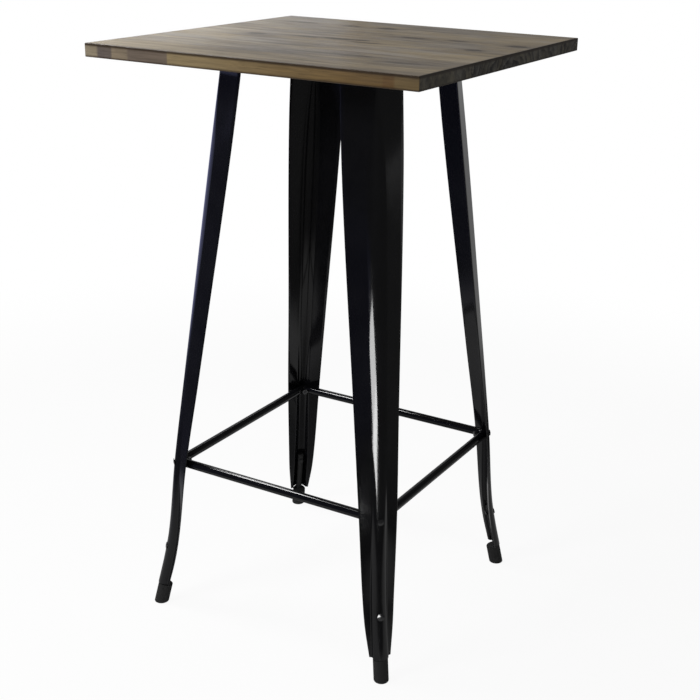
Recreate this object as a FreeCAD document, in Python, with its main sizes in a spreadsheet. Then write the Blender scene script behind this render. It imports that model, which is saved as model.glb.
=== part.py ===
import FreeCAD, Part
import math
import os

import Sketcher
from FreeCAD import Placement, Rotation, Vector

# Square pub table: a solid wood top on four pressed steel legs, tied by a square foot ring.
# Millimetres, +Z up, origin on the floor under the middle of the top. The front is -Y.
# A leg and what is fixed to it are drawn in the leg's own frame, where +X points out along the
# table's diagonal. Heights and lengths are expressions on the cells of the sheet.

STAVE_COUNT = 7
HEX_SIDES = 6
RING_SIDES = 4
QUARTER_TURN = 90
LEG_ANGLES = {"front_left": 225, "front_right": 315, "back_right": 45, "back_left": 135}
RAIL_ANGLES = {"right": 0, "back": 90, "left": 180, "front": 270}
FIRST_LEG = "back_right"
FIRST_RAIL = "right"
SMALL = 1e-4

# Driving dimensions, in millimetres and degrees
SIZES = {
    # Top
    "top_width": 610.0,
    "top_thickness": 22.0,
    "table_height": 1050.0,
    "top_edge_round": 1.2,
    # Legs: the sheet, the vertical crown, the shoulder and knee below it, then the stations to the toe
    "sheet_thickness": 1.5,
    "web_length": 2.0,
    "nose_round": 6.0,
    "rib_radius": 14.5,
    "crown_height": 24.0,
    "crown_nose": 212.0,
    "crown_half_width": 52.0,
    "crown_angle": 27.0,
    "shoulder_height": 124.0,
    "shoulder_round": 33.5,
    "shoulder_nose_angle": 20.5,
    "shoulder_flank_angle": 30.5,
    "knee_height": 470.0,
    "knee_round": 33.5,
    "knee_nose_angle": 20.5,
    "knee_flank_angle": 32.3,
    "ring_height": 292.0,
    "ring_nose": 309.0,
    "ring_half_width": 34.0,
    "ring_rib_angle": 55.0,
    "ring_flank_angle": 20.0,
    "ankle_height": 145.0,
    "ankle_nose": 324.5,
    "ankle_half_width": 28.3,
    "ankle_rib_angle": 78.0,
    "ankle_flank_angle": 5.0,
    "heel_height": 95.0,
    "heel_nose": 334.3,
    "heel_half_width": 25.4,
    "heel_rib_angle": 82.0,
    "heel_flank_angle": 8.0,
    "toe_height": 42.0,
    "toe_nose": 347.0,
    "toe_half_width": 19.5,
    "toe_rib_angle": 84.0,
    "toe_flank_angle": 18.0,
    # Foot ring
    "tube_diameter": 16.0,
    "tube_wall": 1.5,
    "tube_bend": 10.0,
    # Foot plugs
    "plug_foot_diameter": 26.6,
    "plug_foot_height": 38.0,
    "plug_stem_height": 128.0,
    "plug_stem_diameter": 12.0,
    "plug_edge_round": 2.0,
    # Under-frame
    "plate_thickness": 3.0,
    "plate_reach": 26.0,
    "rail_depth": 22.0,
    "rail_thickness": 2.0,
    "rail_flange": 18.0,
    "rail_tab_gap": 2.0,
    "rail_bend_margin": 4.0,
    "rail_screw_spacing": 120.0,
    # Fasteners
    "ring_bolt_diameter": 6.0,
    "ring_head_diameter": 12.0,
    "ring_head_height": 1.4,
    "ring_nut_width": 10.0,
    "ring_nut_height": 5.0,
    "foot_bolt_diameter": 5.0,
    "foot_bolt_height": 115.0,
    "foot_head_diameter": 13.0,
    "foot_head_height": 1.6,
    "foot_nut_width": 8.0,
    "foot_nut_height": 2.5,
    "apron_bolt_diameter": 5.0,
    "apron_bolt_inset": 16.0,
    "apron_head_diameter": 9.0,
    "apron_head_height": 2.4,
    "apron_nut_width": 8.0,
    "apron_nut_height": 4.0,
    "bolt_rim": 0.4,
    "bolt_tail": 0.5,
    "screw_diameter": 4.0,
    "screw_bite": 15.0,
    "screw_head_diameter": 8.0,
    "screw_head_height": 2.6,
    "screw_point": 4.0,
    # Clearances
    "hole_clearance": 0.2,
    "ring_clearance": 0.3,
    "plug_clearance": 0.5,
    "head_clearance": 0.15,
}

doc = FreeCAD.newDocument("pub_table")
sheet = doc.addObject("Spreadsheet::Sheet", "Sizes")
for row, (alias, value) in enumerate(SIZES.items(), start=1):
    sheet.set(f"A{row}", alias)
    sheet.set(f"B{row}", str(value))
    sheet.setAlias(f"B{row}", alias)
doc.recompute()


def cell(alias):
    """Expression that reads one driving dimension."""
    return f"Sizes.{alias}"


def number(expression):
    """Present value of an expression."""
    value = sheet.evalExpression(expression)
    return float(getattr(value, "Value", value))


def mean(first, second):
    """Expression half-way between two others."""
    return f"(({first} + {second}) / 2)"


def negative(expression):
    """Expression with its sign changed."""
    return f"(-1 * {expression})"


def hole(diameter):
    """Diameter of the hole that a bolt or screw passes through."""
    return f"({diameter} + 2 * {cell('hole_clearance')})"


# Section of the pressed leg

class Station:
    """Section of the leg at one height: a round nose, two webs and two flanks, as expressions."""

    def __init__(self, level, nose, half_width, radius, rib_angle, flank_angle):
        thickness = cell("sheet_thickness")
        web = cell("web_length")
        self.level = level
        self.nose = nose
        self.half_width = half_width
        self.rib_angle = rib_angle
        self.flank_angle = flank_angle
        self.radius = radius
        self.inner_radius = f"({radius} - {thickness})"
        rib_end = (
            f"({nose} - {radius} * (1 - cos({rib_angle})))",
            f"({radius} * sin({rib_angle}))",
        )
        crease = (
            f"({rib_end[0]} - {web} * sin({rib_angle}))",
            f"({rib_end[1]} + {web} * cos({rib_angle}))",
        )
        self.edge = (f"({crease[0]} - ({half_width} - {crease[1]}) * tan({flank_angle}))", half_width)
        inner_rib_end = (
            f"({rib_end[0]} - {thickness} * cos({rib_angle}))",
            f"({rib_end[1]} - {thickness} * sin({rib_angle}))",
        )
        mitre = f"{thickness} / (1 + cos({rib_angle} - {flank_angle}))"
        self.inner_crease = (
            f"({crease[0]} - {mitre} * (cos({rib_angle}) + cos({flank_angle})))",
            f"({crease[1]} - {mitre} * (sin({rib_angle}) + sin({flank_angle})))",
        )
        self.inner_edge = (
            f"({self.edge[0]} - {thickness} * cos({flank_angle}))",
            f"({self.edge[1]} - {thickness} * sin({flank_angle}))",
        )
        self.points = [rib_end, crease, self.edge, self.inner_edge, self.inner_crease, inner_rib_end]


def named_station(name):
    """Station whose sizes are in the sheet under one name."""
    return Station(
        cell(f"{name}_height"),
        cell(f"{name}_nose"),
        cell(f"{name}_half_width"),
        cell("rib_radius"),
        cell(f"{name}_rib_angle"),
        cell(f"{name}_flank_angle"),
    )


UNDERSIDE = f"({cell('table_height')} - {cell('top_thickness')})"
CROWN_LEVEL = f"({UNDERSIDE} - {cell('crown_height')})"
CROWN_SHAPE = (cell("crown_half_width"), cell("nose_round"), cell("crown_angle"), cell("crown_angle"))
CROWN = Station(CROWN_LEVEL, cell("crown_nose"), *CROWN_SHAPE)
RING = named_station("ring")
ANKLE = named_station("ankle")
HEEL = named_station("heel")
TOE = named_station("toe")

# The nose runs straight from the crown to the ring, so the shoulder and the knee lie on that line.
# The nose is tight at the crown, widely rounded from shoulder to knee, and a rib from the ring down
SPLAY = f"(({RING.nose} - {CROWN.nose}) / ({CROWN_LEVEL} - {RING.level}))"
SHOULDER_LEVEL = f"({CROWN_LEVEL} - {cell('shoulder_height')})"
SHOULDER_NOSE = f"({CROWN.nose} + {SPLAY} * {cell('shoulder_height')})"
SHOULDER = Station(
    SHOULDER_LEVEL,
    SHOULDER_NOSE,
    cell("crown_half_width"),
    cell("shoulder_round"),
    cell("shoulder_nose_angle"),
    cell("shoulder_flank_angle"),
)
KNEE_SHARE = f"(({SHOULDER_LEVEL} - {cell('knee_height')}) / ({SHOULDER_LEVEL} - {RING.level}))"
KNEE = Station(
    cell("knee_height"),
    f"({SHOULDER_NOSE} + ({RING.nose} - {SHOULDER_NOSE}) * {KNEE_SHARE})",
    f"({cell('crown_half_width')} + ({RING.half_width} - {cell('crown_half_width')}) * {KNEE_SHARE})",
    cell("knee_round"),
    cell("knee_nose_angle"),
    cell("knee_flank_angle"),
)

# The shin is half-way from the ring to the ankle
SHIN = Station(
    mean(RING.level, ANKLE.level),
    mean(RING.nose, ANKLE.nose),
    mean(RING.half_width, ANKLE.half_width),
    cell("rib_radius"),
    mean(RING.rib_angle, ANKLE.rib_angle),
    mean(RING.flank_angle, ANKLE.flank_angle),
)

# The foot plug lies along the toe, and its bolt crosses it at a right angle
TOE_LEAN = f"atan(({TOE.nose} - {HEEL.nose}) / ({HEEL.level} - {TOE.level}))"
FOOT_CENTRE = f"({TOE.nose} - {TOE.radius} + {TOE.level} * tan({TOE_LEAN}))"
PLUG_RADIUS = f"(({TOE.inner_radius} - {cell('plug_clearance')}) * cos({TOE_LEAN}))"
STEM_RADIUS = f"({cell('plug_stem_diameter')} / 2)"
FOOT_RADIUS = f"({cell('plug_foot_diameter')} / 2)"
FOOT_BOLT_CENTRE = f"({FOOT_CENTRE} - {cell('foot_bolt_height')} * tan({TOE_LEAN}))"

# The ring's bent corners rest on the creases inside the legs
TUBE_RADIUS = f"({cell('tube_diameter')} / 2)"
CORNER_REACH = f"({cell('tube_bend')} + {TUBE_RADIUS} + {cell('ring_clearance')})"
BEND_CENTRE = f"({RING.inner_crease[0]} - sqrt({CORNER_REACH}^2 - {RING.inner_crease[1]}^2))"
RING_FLAT = f"({BEND_CENTRE} / sqrt(2))"
RING_HALF = f"({RING_FLAT} + {cell('tube_bend')})"

# Bolt through each flank of the crown: its place along the flank and its height, then how far
# the flank's outer face lies from the table's axis
FLANK_ANGLE = CROWN.flank_angle
APRON_BOLT_ALONG = (
    f"({CROWN.edge[1]} * cos({FLANK_ANGLE}) - {CROWN.edge[0]} * sin({FLANK_ANGLE})"
    f" - {cell('apron_bolt_inset')})"
)
APRON_BOLT_LEVEL = f"({UNDERSIDE} - {mean(cell('rail_depth'), cell('rail_thickness'))})"
FLANK_FACE = f"({CROWN.edge[0]} * cos({FLANK_ANGLE}) + {CROWN.edge[1]} * sin({FLANK_ANGLE}))"

# Rail on the +X side, from one leg's flank to the next: its bent tabs lie on the inside of the flanks
RAIL_TILT = f"(45 - {FLANK_ANGLE})"
TAB_EDGE = (
    f"(({CROWN.inner_edge[0]} + {CROWN.inner_edge[1]}) / sqrt(2))",
    f"(({CROWN.inner_edge[0]} - {CROWN.inner_edge[1]}) / sqrt(2))",
)
RAIL_BEND = (
    f"({TAB_EDGE[0]} + {cell('rail_bend_margin')} * sin({RAIL_TILT}))",
    f"({TAB_EDGE[1]} - {cell('rail_bend_margin')} * cos({RAIL_TILT}))",
)
TAB_LENGTH = (
    f"(({CROWN.inner_edge[1]} - {CROWN.inner_crease[1]}) / cos({FLANK_ANGLE})"
    f" - {cell('plate_reach')} - {cell('rail_tab_gap')})"
)
TAB_END = (
    f"({TAB_EDGE[0]} - {TAB_LENGTH} * sin({RAIL_TILT}))",
    f"({TAB_EDGE[1]} + {TAB_LENGTH} * cos({RAIL_TILT}))",
)
RAIL_INSIDE = f"({RAIL_BEND[0]} - {cell('rail_thickness')})"
RAIL_SCREW = (f"({RAIL_INSIDE} - {cell('rail_flange')} / 2)", f"({cell('rail_screw_spacing')} / 2)")

# Plate welded across the crown, and its screw
PLATE_SCREW = f"({CROWN.inner_crease[0]} - {cell('plate_reach')} * sin({FLANK_ANGLE}) / 2)"


# Bodies, sketches and features

def turned(angle):
    """Placement turned about the table's axis."""
    return Placement(Vector(), Rotation(Vector(0, 0, 1), angle))


def new_body(label, angle=0):
    """Body of one sub-part."""
    body = doc.addObject("PartDesign::Body", label)
    body.Label = label
    body.AllowCompound = True
    body.Placement = turned(angle)
    return body


def copy_body(source, label, angle):
    """Another body of the same shape, turned to its own place."""
    body = new_body(label, angle)
    body.BaseFeature = source
    return body


def origin_feature(body, role):
    """One of the body's own origin planes or axes."""
    return next(item for item in body.Origin.OriginFeatures if item.Role == role)


def new_sketch(body, name, role="XY_Plane", at=("0", "0", "0"), axis=None, angle=None):
    """Sketch on an origin plane, moved and turned within that plane's own axes."""
    sketch = body.newObject("Sketcher::SketchObject", name)
    sketch.AttachmentSupport = [(origin_feature(body, role), "")]
    sketch.MapMode = "FlatFace"
    if axis is not None:
        sketch.AttachmentOffset = Placement(Vector(), Rotation(axis, number(angle)))
        sketch.setExpression("AttachmentOffset.Rotation.Angle", angle)
    for letter, expression in zip("xyz", at):
        if expression != "0":
            sketch.setExpression(f"AttachmentOffset.Base.{letter}", expression)
    return sketch


def bind(sketch, constraint, expression):
    """Add a dimension to a sketch and tie it to an expression."""
    index = sketch.addConstraint(constraint)
    sketch.setExpression(f"Constraints[{index}]", expression)


def tie_point(sketch, geometry, end, point):
    """Tie one point of a line, arc or circle to a pair of expressions."""
    for kind, expression in zip(("DistanceX", "DistanceY"), point):
        bind(sketch, Sketcher.Constraint(kind, -1, 1, geometry, end, number(expression)), expression)


def add_circle(sketch, centre, diameter):
    """Circle with its centre and diameter tied to expressions."""
    middle = Vector(number(centre[0]), number(centre[1]), 0)
    circle = sketch.addGeometry(Part.Circle(middle, Vector(0, 0, 1), number(diameter) / 2))
    tie_point(sketch, circle, 3, centre)
    bind(sketch, Sketcher.Constraint("Diameter", circle, number(diameter)), diameter)


def axis_arc(start, end):
    """Arc from start to end about a centre on the sketch's X axis."""
    if math.isclose(start.x, end.x):
        raise ValueError("the arc's ends need different places along the axis")
    square = start.x ** 2 + start.y ** 2 - end.x ** 2 - end.y ** 2
    centre = Vector(square / (2 * (start.x - end.x)), 0, 0)
    middle = (start + end) * 0.5 - centre
    middle.multiply(start.distanceToPoint(centre) / middle.Length)
    return Part.Arc(start, centre + middle, end)


def crossing_arc(start, end, radius):
    """Arc of a radius, bulging out along +X, between two points that mirror each other."""
    crest = start.x + radius - math.sqrt(radius ** 2 - start.y ** 2)
    return Part.Arc(start, Vector(crest, 0, 0), end)


def join_edges(sketch, corners, edges):
    """Join edges end to end, and return which end of each edge is its first corner."""
    count = len(corners)
    first = []
    for corner, edge in zip(corners, edges):
        first.append(1 if sketch.getPoint(edge, 1).distanceToPoint(corner) < SMALL else 2)
    for i in range(count):
        following = (i + 1) % count
        ends = (edges[i], 3 - first[i], edges[following], first[following])
        sketch.addConstraint(Sketcher.Constraint("Coincident", *ends))
    return first


def add_outline(sketch, points, domed=()):
    """Closed outline through points. Edges listed as domed are arcs about the sketch's X axis."""
    corners = [Vector(number(x), number(y), 0) for x, y in points]
    edges = []
    for i, start in enumerate(corners):
        end = corners[(i + 1) % len(corners)]
        edge = axis_arc(start, end) if i in domed else Part.LineSegment(start, end)
        edges.append(sketch.addGeometry(edge))
    first = join_edges(sketch, corners, edges)
    for i, point in enumerate(points):
        tie_point(sketch, edges[i], first[i], point)
    for i in domed:
        sketch.addConstraint(Sketcher.Constraint("PointOnObject", edges[i], 3, -1))


def add_mirrored_outline(sketch, points, outer_radius=None, inner_radius=None):
    """Closed outline that is its own mirror image about the sketch's X axis.

    points are the half with positive Y, from the outer crossing of the axis to the inner one.
    Each crossing is an arc of the radius given, or else a straight line.
    """
    half = [Vector(number(x), number(y), 0) for x, y in points]
    corners = half + [Vector(point.x, -point.y, 0) for point in reversed(half)]
    count = len(corners)
    crossings = {len(half) - 1: inner_radius, count - 1: outer_radius}
    edges = []
    for i, start in enumerate(corners):
        end = corners[(i + 1) % count]
        radius = crossings.get(i)
        if radius is None:
            edge = Part.LineSegment(start, end)
        else:
            edge = crossing_arc(start, end, number(radius))
        edges.append(sketch.addGeometry(edge))
    first = join_edges(sketch, corners, edges)
    for i, point in enumerate(points):
        opposite = count - 1 - i
        tie_point(sketch, edges[i], first[i], point)
        pair = (edges[i], first[i], edges[opposite], first[opposite], -1)
        sketch.addConstraint(Sketcher.Constraint("Symmetric", *pair))
    for i, radius in crossings.items():
        if radius is not None:
            bind(sketch, Sketcher.Constraint("Radius", edges[i], number(radius)), radius)


def add_pad(body, sketch, length):
    """Pad of a sketch along its normal."""
    pad = body.newObject("PartDesign::Pad", f"{sketch.Name}_pad")
    pad.Profile = sketch
    pad.setExpression("Length", length)
    return pad


def add_pocket(body, sketch, both_sides=True):
    """Pocket of a sketch through all, on both sides of it or only against its normal."""
    doc.recompute()
    before = body.Shape.Volume
    pocket = body.newObject("PartDesign::Pocket", f"{sketch.Name}_pocket")
    pocket.Profile = sketch
    pocket.Type = "ThroughAll"
    pocket.Midplane = both_sides
    doc.recompute()
    if body.Shape.Volume > before - SMALL:
        raise RuntimeError(f"{pocket.Name} cuts nothing")
    return pocket


def add_loft(body, name, sections, ruled):
    """Loft through sketches, straight between them or smooth."""
    loft = body.newObject("PartDesign::AdditiveLoft", name)
    loft.Profile = sections[0]
    loft.Sections = sections[1:]
    loft.Ruled = ruled
    return loft


def add_revolution(body, sketch, axis):
    """Full turn of a sketch about one of its own axes."""
    turn = body.newObject("PartDesign::Revolution", f"{sketch.Name}_turn")
    turn.Profile = sketch
    turn.ReferenceAxis = (sketch, [axis])
    turn.Angle = 360
    return turn


def add_mirror(body, feature):
    """Mirror image of a feature about the body's XZ plane."""
    mirror = body.newObject("PartDesign::Mirrored", f"{feature.Name}_mirror")
    mirror.Originals = [feature]
    mirror.MirrorPlane = (origin_feature(body, "XZ_Plane"), [""])
    body.Tip = mirror


def add_quarter_turns(body, features):
    """Features repeated at each quarter turn about the table's axis."""
    pattern = body.newObject("PartDesign::PolarPattern", f"{body.Name}_turns")
    pattern.Originals = features
    pattern.Axis = (origin_feature(body, "Z_Axis"), [""])
    pattern.Angle = 360
    pattern.Occurrences = len(LEG_ANGLES)
    body.Tip = pattern


def leg_copies(source, name):
    """The first leg's piece and its copies on the other legs."""
    others = [corner for corner in LEG_ANGLES if corner != FIRST_LEG]
    return [source] + [copy_body(source, f"{name}_{corner}", LEG_ANGLES[corner]) for corner in others]


# Wooden top

def screw_points():
    """Where the screws enter the top: one at each leg plate and two at each rail."""
    diagonal = f"({PLATE_SCREW} / sqrt(2))"
    across, along = RAIL_SCREW
    points = []
    for x, y in ((diagonal, diagonal), (across, along), (along, across)):
        points += [(x, y), (negative(x), y), (x, negative(y)), (negative(x), negative(y))]
    return points


def panel_edges(shape, glued):
    """Names of the edges between the panel's outer faces, leaving out the sides that are glued."""
    box = shape.BoundBox
    names = []
    for i, edge in enumerate(shape.Edges, start=1):
        sides = []
        for side in ("XMin", "XMax", "YMin", "YMax", "ZMin", "ZMax"):
            limit = getattr(box, side)
            low = getattr(edge.BoundBox, f"{side[0]}Min")
            high = getattr(edge.BoundBox, f"{side[0]}Max")
            if abs(low - limit) < SMALL and abs(high - limit) < SMALL:
                sides.append(side)
        if len(sides) == 2 and not set(sides) & set(glued):
            names.append(f"Edge{i}")
    return names


def make_stave(index):
    """One stave of the top, along X, with its outer edges eased and its screw holes underneath."""
    label = f"top_stave_{index + 1}"
    body = new_body(label)
    half = f"({cell('top_width')} / 2)"
    near = f"({cell('top_width')} * {index / STAVE_COUNT} - {half})"
    far = f"({cell('top_width')} * {(index + 1) / STAVE_COUNT} - {half})"
    outline = new_sketch(body, f"{label}_outline", at=("0", "0", UNDERSIDE))
    add_outline(outline, [(negative(half), near), (half, near), (half, far), (negative(half), far)])
    pad = add_pad(body, outline, cell("top_thickness"))
    doc.recompute()
    glued = [side for side, last in (("YMin", 0), ("YMax", STAVE_COUNT - 1)) if index != last]
    eased = body.newObject("PartDesign::Fillet", f"{label}_eased")
    eased.Base = (pad, panel_edges(pad.Shape, glued))
    eased.setExpression("Radius", cell("top_edge_round"))
    margin = number(hole(cell("screw_diameter"))) / 2
    reach = (number(near) - margin, number(far) + margin)
    points = [point for point in screw_points() if reach[0] < number(point[1]) < reach[1]]
    if points:
        doc.recompute()
        holes = new_sketch(body, f"{label}_holes", at=("0", "0", UNDERSIDE))
        for point in points:
            add_circle(holes, point, hole(cell("screw_diameter")))
        pocket = body.newObject("PartDesign::Pocket", f"{label}_pocket")
        pocket.Profile = holes
        pocket.Reversed = True
        pocket.setExpression("Length", f"{cell('screw_bite')} + {cell('hole_clearance')}")
    return body


# Legs, plates and foot plugs

def foot_bolt_sketch(body, name):
    """Sketch whose origin is on the foot bolt's axis, square to it."""
    at = ("0", cell("foot_bolt_height"), FOOT_BOLT_CENTRE)
    return new_sketch(body, name, "YZ_Plane", at, Vector(-1, 0, 0), TOE_LEAN)


def make_leg():
    """Pressed leg: a vertical crown, a straight splayed V with a wide nose, then a ribbed shin that kicks out."""
    body = new_body(f"leg_{FIRST_LEG}", LEG_ANGLES[FIRST_LEG])
    stations = {
        "crown": CROWN,
        "shoulder": SHOULDER,
        "knee": KNEE,
        "ring": RING,
        "shin": SHIN,
        "ankle": ANKLE,
        "heel": HEEL,
        "toe": TOE,
    }
    section = {}
    for name, station in stations.items():
        section[name] = new_sketch(body, f"leg_{name}", at=("0", "0", station.level))
        add_mirrored_outline(section[name], station.points, station.radius, station.inner_radius)
    add_pad(body, section["crown"], cell("crown_height"))
    add_loft(body, "leg_upper", [section[name] for name in ("crown", "shoulder", "knee")], True)
    add_loft(body, "leg_rib", [section[name] for name in ("knee", "ring")], True)
    add_loft(body, "leg_shin", [section[name] for name in ("ring", "shin", "ankle", "heel")], False)
    add_loft(body, "leg_toe", [section[name] for name in ("heel", "toe")], True)
    ring_hole = new_sketch(body, "leg_ring_hole", "YZ_Plane")
    add_circle(ring_hole, ("0", cell("ring_height")), hole(cell("ring_bolt_diameter")))
    add_pocket(body, ring_hole)
    foot_hole = foot_bolt_sketch(body, "leg_foot_hole")
    add_circle(foot_hole, ("0", "0"), hole(cell("foot_bolt_diameter")))
    add_pocket(body, foot_hole)
    flank_hole = new_sketch(body, "leg_flank_hole", "YZ_Plane", axis=Vector(0, 1, 0), angle=FLANK_ANGLE)
    add_circle(flank_hole, (APRON_BOLT_ALONG, APRON_BOLT_LEVEL), hole(cell("apron_bolt_diameter")))
    add_mirror(body, add_pocket(body, flank_hole))
    return body


def make_leg_plate():
    """Flat plate welded between the flanks at the top of a leg, with one screw hole."""
    body = new_body(f"leg_plate_{FIRST_LEG}", LEG_ANGLES[FIRST_LEG])
    level = f"({UNDERSIDE} - {cell('plate_thickness')})"
    outline = new_sketch(body, "plate_outline", at=("0", "0", level))
    inner_x, inner_y = CROWN.inner_crease
    end = (
        f"({inner_x} - {cell('plate_reach')} * sin({FLANK_ANGLE}))",
        f"({inner_y} + {cell('plate_reach')} * cos({FLANK_ANGLE}))",
    )
    add_mirrored_outline(outline, [CROWN.inner_crease, end])
    add_circle(outline, (PLATE_SCREW, "0"), hole(cell("screw_diameter")))
    add_pad(body, outline, cell("plate_thickness"))
    return body


def make_foot_plug():
    """Round foot along the leg's toe, cut flat on the floor, with a thinner stem up inside the rib."""
    body = new_body(f"foot_plug_{FIRST_LEG}", LEG_ANGLES[FIRST_LEG])
    backward = Vector(0, -1, 0)
    drop = FOOT_RADIUS
    start = (f"({FOOT_CENTRE} + {drop} * tan({TOE_LEAN}))", "0", negative(drop))
    foot = new_sketch(body, "plug_foot", at=start, axis=backward, angle=TOE_LEAN)
    add_circle(foot, ("0", "0"), cell("plug_foot_diameter"))
    add_pad(body, foot, f"(({cell('plug_foot_height')} + {drop}) / cos({TOE_LEAN}))")
    stem = new_sketch(body, "plug_stem", at=(FOOT_CENTRE, "0", "0"), axis=backward, angle=TOE_LEAN)
    add_circle(stem, (f"({PLUG_RADIUS} - {STEM_RADIUS})", "0"), cell("plug_stem_diameter"))
    add_pad(body, stem, f"({cell('plug_stem_height')} / cos({TOE_LEAN}))")
    floor = new_sketch(body, "plug_floor")
    add_circle(floor, (FOOT_CENTRE, "0"), f"(2 * ({FOOT_RADIUS} + {drop}))")
    base = add_pocket(body, floor, both_sides=False)
    rims = [f"Edge{i}" for i, edge in enumerate(base.Shape.Edges, start=1) if edge.BoundBox.ZMax < SMALL]
    eased = body.newObject("PartDesign::Fillet", "plug_eased")
    eased.Base = (base, rims)
    eased.setExpression("Radius", cell("plug_edge_round"))
    bolt_hole = foot_bolt_sketch(body, "plug_bolt_hole")
    add_circle(bolt_hole, ("0", "0"), hole(cell("foot_bolt_diameter")))
    add_pocket(body, bolt_hole)
    return body


# Apron rails and foot ring

def make_rail():
    """Angle rail under the top between two legs, its ends bent to lie on the legs' flanks."""
    body = new_body(f"apron_rail_{FIRST_RAIL}", RAIL_ANGLES[FIRST_RAIL])
    thickness = cell("rail_thickness")
    inner_end = (
        f"({TAB_END[0]} - {thickness} * cos({RAIL_TILT}))",
        f"({TAB_END[1]} - {thickness} * sin({RAIL_TILT}))",
    )
    inner_bend = (RAIL_INSIDE, f"({RAIL_BEND[1]} - {thickness} * tan({RAIL_TILT} / 2))")
    leaf = new_sketch(body, "rail_leaf", at=("0", "0", f"({UNDERSIDE} - {cell('rail_depth')})"))
    add_mirrored_outline(leaf, [RAIL_BEND, TAB_END, inner_end, inner_bend])
    add_pad(body, leaf, cell("rail_depth"))
    flange = new_sketch(body, "rail_flange", at=("0", "0", f"({UNDERSIDE} - {thickness})"))
    flange_end = (f"({RAIL_INSIDE} - {cell('rail_flange')})", inner_bend[1])
    add_mirrored_outline(flange, [inner_bend, flange_end])
    for side in (RAIL_SCREW[1], negative(RAIL_SCREW[1])):
        add_circle(flange, (RAIL_SCREW[0], side), hole(cell("screw_diameter")))
    add_pad(body, flange, thickness)
    tab_hole = new_sketch(body, "rail_tab_hole", "YZ_Plane", axis=Vector(0, 1, 0), angle=RAIL_TILT)
    place = (negative(APRON_BOLT_ALONG), APRON_BOLT_LEVEL)
    add_circle(tab_hole, place, hole(cell("apron_bolt_diameter")))
    add_mirror(body, add_pocket(body, tab_hole))
    return body


def add_ring_path(sketch):
    """Rounded square, started at the middle of its front side, tied to the ring's half side and bend."""
    half = number(RING_HALF)
    flat = number(RING_FLAT)
    bend = number(cell("tube_bend"))
    crest = flat + bend / math.sqrt(2)
    start = Vector(0, -half, 0)
    edges = [sketch.addGeometry(Part.LineSegment(start, Vector(flat, -half, 0)))]
    last = RING_SIDES - 1
    for turn in range(RING_SIDES):
        rotation = Rotation(Vector(0, 0, 1), QUARTER_TURN * turn)
        arc = [Vector(flat, -half, 0), Vector(crest, -crest, 0), Vector(half, -flat, 0)]
        edges.append(sketch.addGeometry(Part.Arc(*[rotation.multVec(point) for point in arc])))
        side_end = Vector(half, 0 if turn == last else flat, 0)
        side = [rotation.multVec(Vector(half, -flat, 0)), rotation.multVec(side_end)]
        edges.append(sketch.addGeometry(Part.LineSegment(*side)))
    for i, edge in enumerate(edges):
        following = edges[(i + 1) % len(edges)]
        kind = "Tangent" if i + 1 < len(edges) else "Coincident"
        sketch.addConstraint(Sketcher.Constraint(kind, edge, 2, following, 1))
    front, right, back, left = edges[0:-1:2]
    for side in (front, back):
        sketch.addConstraint(Sketcher.Constraint("Horizontal", side))
    for side in (right, left):
        sketch.addConstraint(Sketcher.Constraint("Vertical", side))
    tie_point(sketch, front, 1, ("0", negative(RING_HALF)))
    for corner in edges[1::2]:
        bind(sketch, Sketcher.Constraint("Radius", corner, bend), cell("tube_bend"))
    bind(sketch, Sketcher.Constraint("DistanceX", -1, 1, right, 1, half), RING_HALF)
    bind(sketch, Sketcher.Constraint("DistanceY", -1, 1, back, 1, half), RING_HALF)
    bind(sketch, Sketcher.Constraint("DistanceX", -1, 1, left, 1, -half), negative(RING_HALF))


def make_foot_ring():
    """Square ring of bent tube, drilled through each corner for the leg's bolt."""
    body = new_body("foot_ring")
    path = new_sketch(body, "ring_path", at=("0", "0", cell("ring_height")))
    add_ring_path(path)
    profile = new_sketch(body, "ring_profile", "YZ_Plane")
    centre = (negative(RING_HALF), cell("ring_height"))
    add_circle(profile, centre, cell("tube_diameter"))
    add_circle(profile, centre, f"({cell('tube_diameter')} - 2 * {cell('tube_wall')})")
    tube = body.newObject("PartDesign::AdditivePipe", "ring_tube")
    tube.Profile = profile
    tube.Spine = (path, [f"Edge{i + 1}" for i in range(path.GeometryCount)])
    for angle in ("45", "135"):
        corner = new_sketch(body, f"ring_hole_{angle}", "YZ_Plane", axis=Vector(0, 1, 0), angle=angle)
        add_circle(corner, ("0", cell("ring_height")), hole(cell("ring_bolt_diameter")))
        add_pocket(body, corner)
    return body


# Fasteners

def add_bolt(body, sketch, seat, tip, name):
    """Bolt along the sketch's X axis: a domed head beyond its seat, and a shank back to its tip."""
    radius = f"({cell(f'{name}_bolt_diameter')} / 2)"
    head = f"({cell(f'{name}_head_diameter')} / 2)"
    points = [
        (tip, "0"),
        (tip, radius),
        (seat, radius),
        (seat, head),
        (f"({seat} + {cell('bolt_rim')})", head),
        (f"({seat} + {cell(f'{name}_head_height')})", "0"),
    ]
    add_outline(sketch, points, domed=(4,))
    return add_revolution(body, sketch, "H_Axis")


def add_nut(body, sketch, name):
    """Hexagon nut, padded along the sketch's normal."""
    corner = f"({cell(f'{name}_nut_width')} / 2 / cos(30))"
    turn = 360 // HEX_SIDES
    points = [(f"({corner} * cos({turn * i}))", f"({corner} * sin({turn * i}))") for i in range(HEX_SIDES)]
    add_outline(sketch, points)
    add_circle(sketch, ("0", "0"), hole(cell(f"{name}_bolt_diameter")))
    return add_pad(body, sketch, cell(f"{name}_nut_height"))


# The ring's nut bridges the two bars where they meet, and touches both
RING_NUT_FACE = (
    f"(({RING_HALF} - {TUBE_RADIUS}) * sqrt(2) - {cell('ring_nut_width')} / 2 / cos(30)"
    f" - {cell('ring_clearance')})"
)
RING_NUT_BACK = f"({RING_NUT_FACE} - {cell('ring_nut_height')})"
RING_SEAT = f"({RING.nose} + {SPLAY} * {cell('ring_head_diameter')} / 2 + {cell('head_clearance')})"

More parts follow.
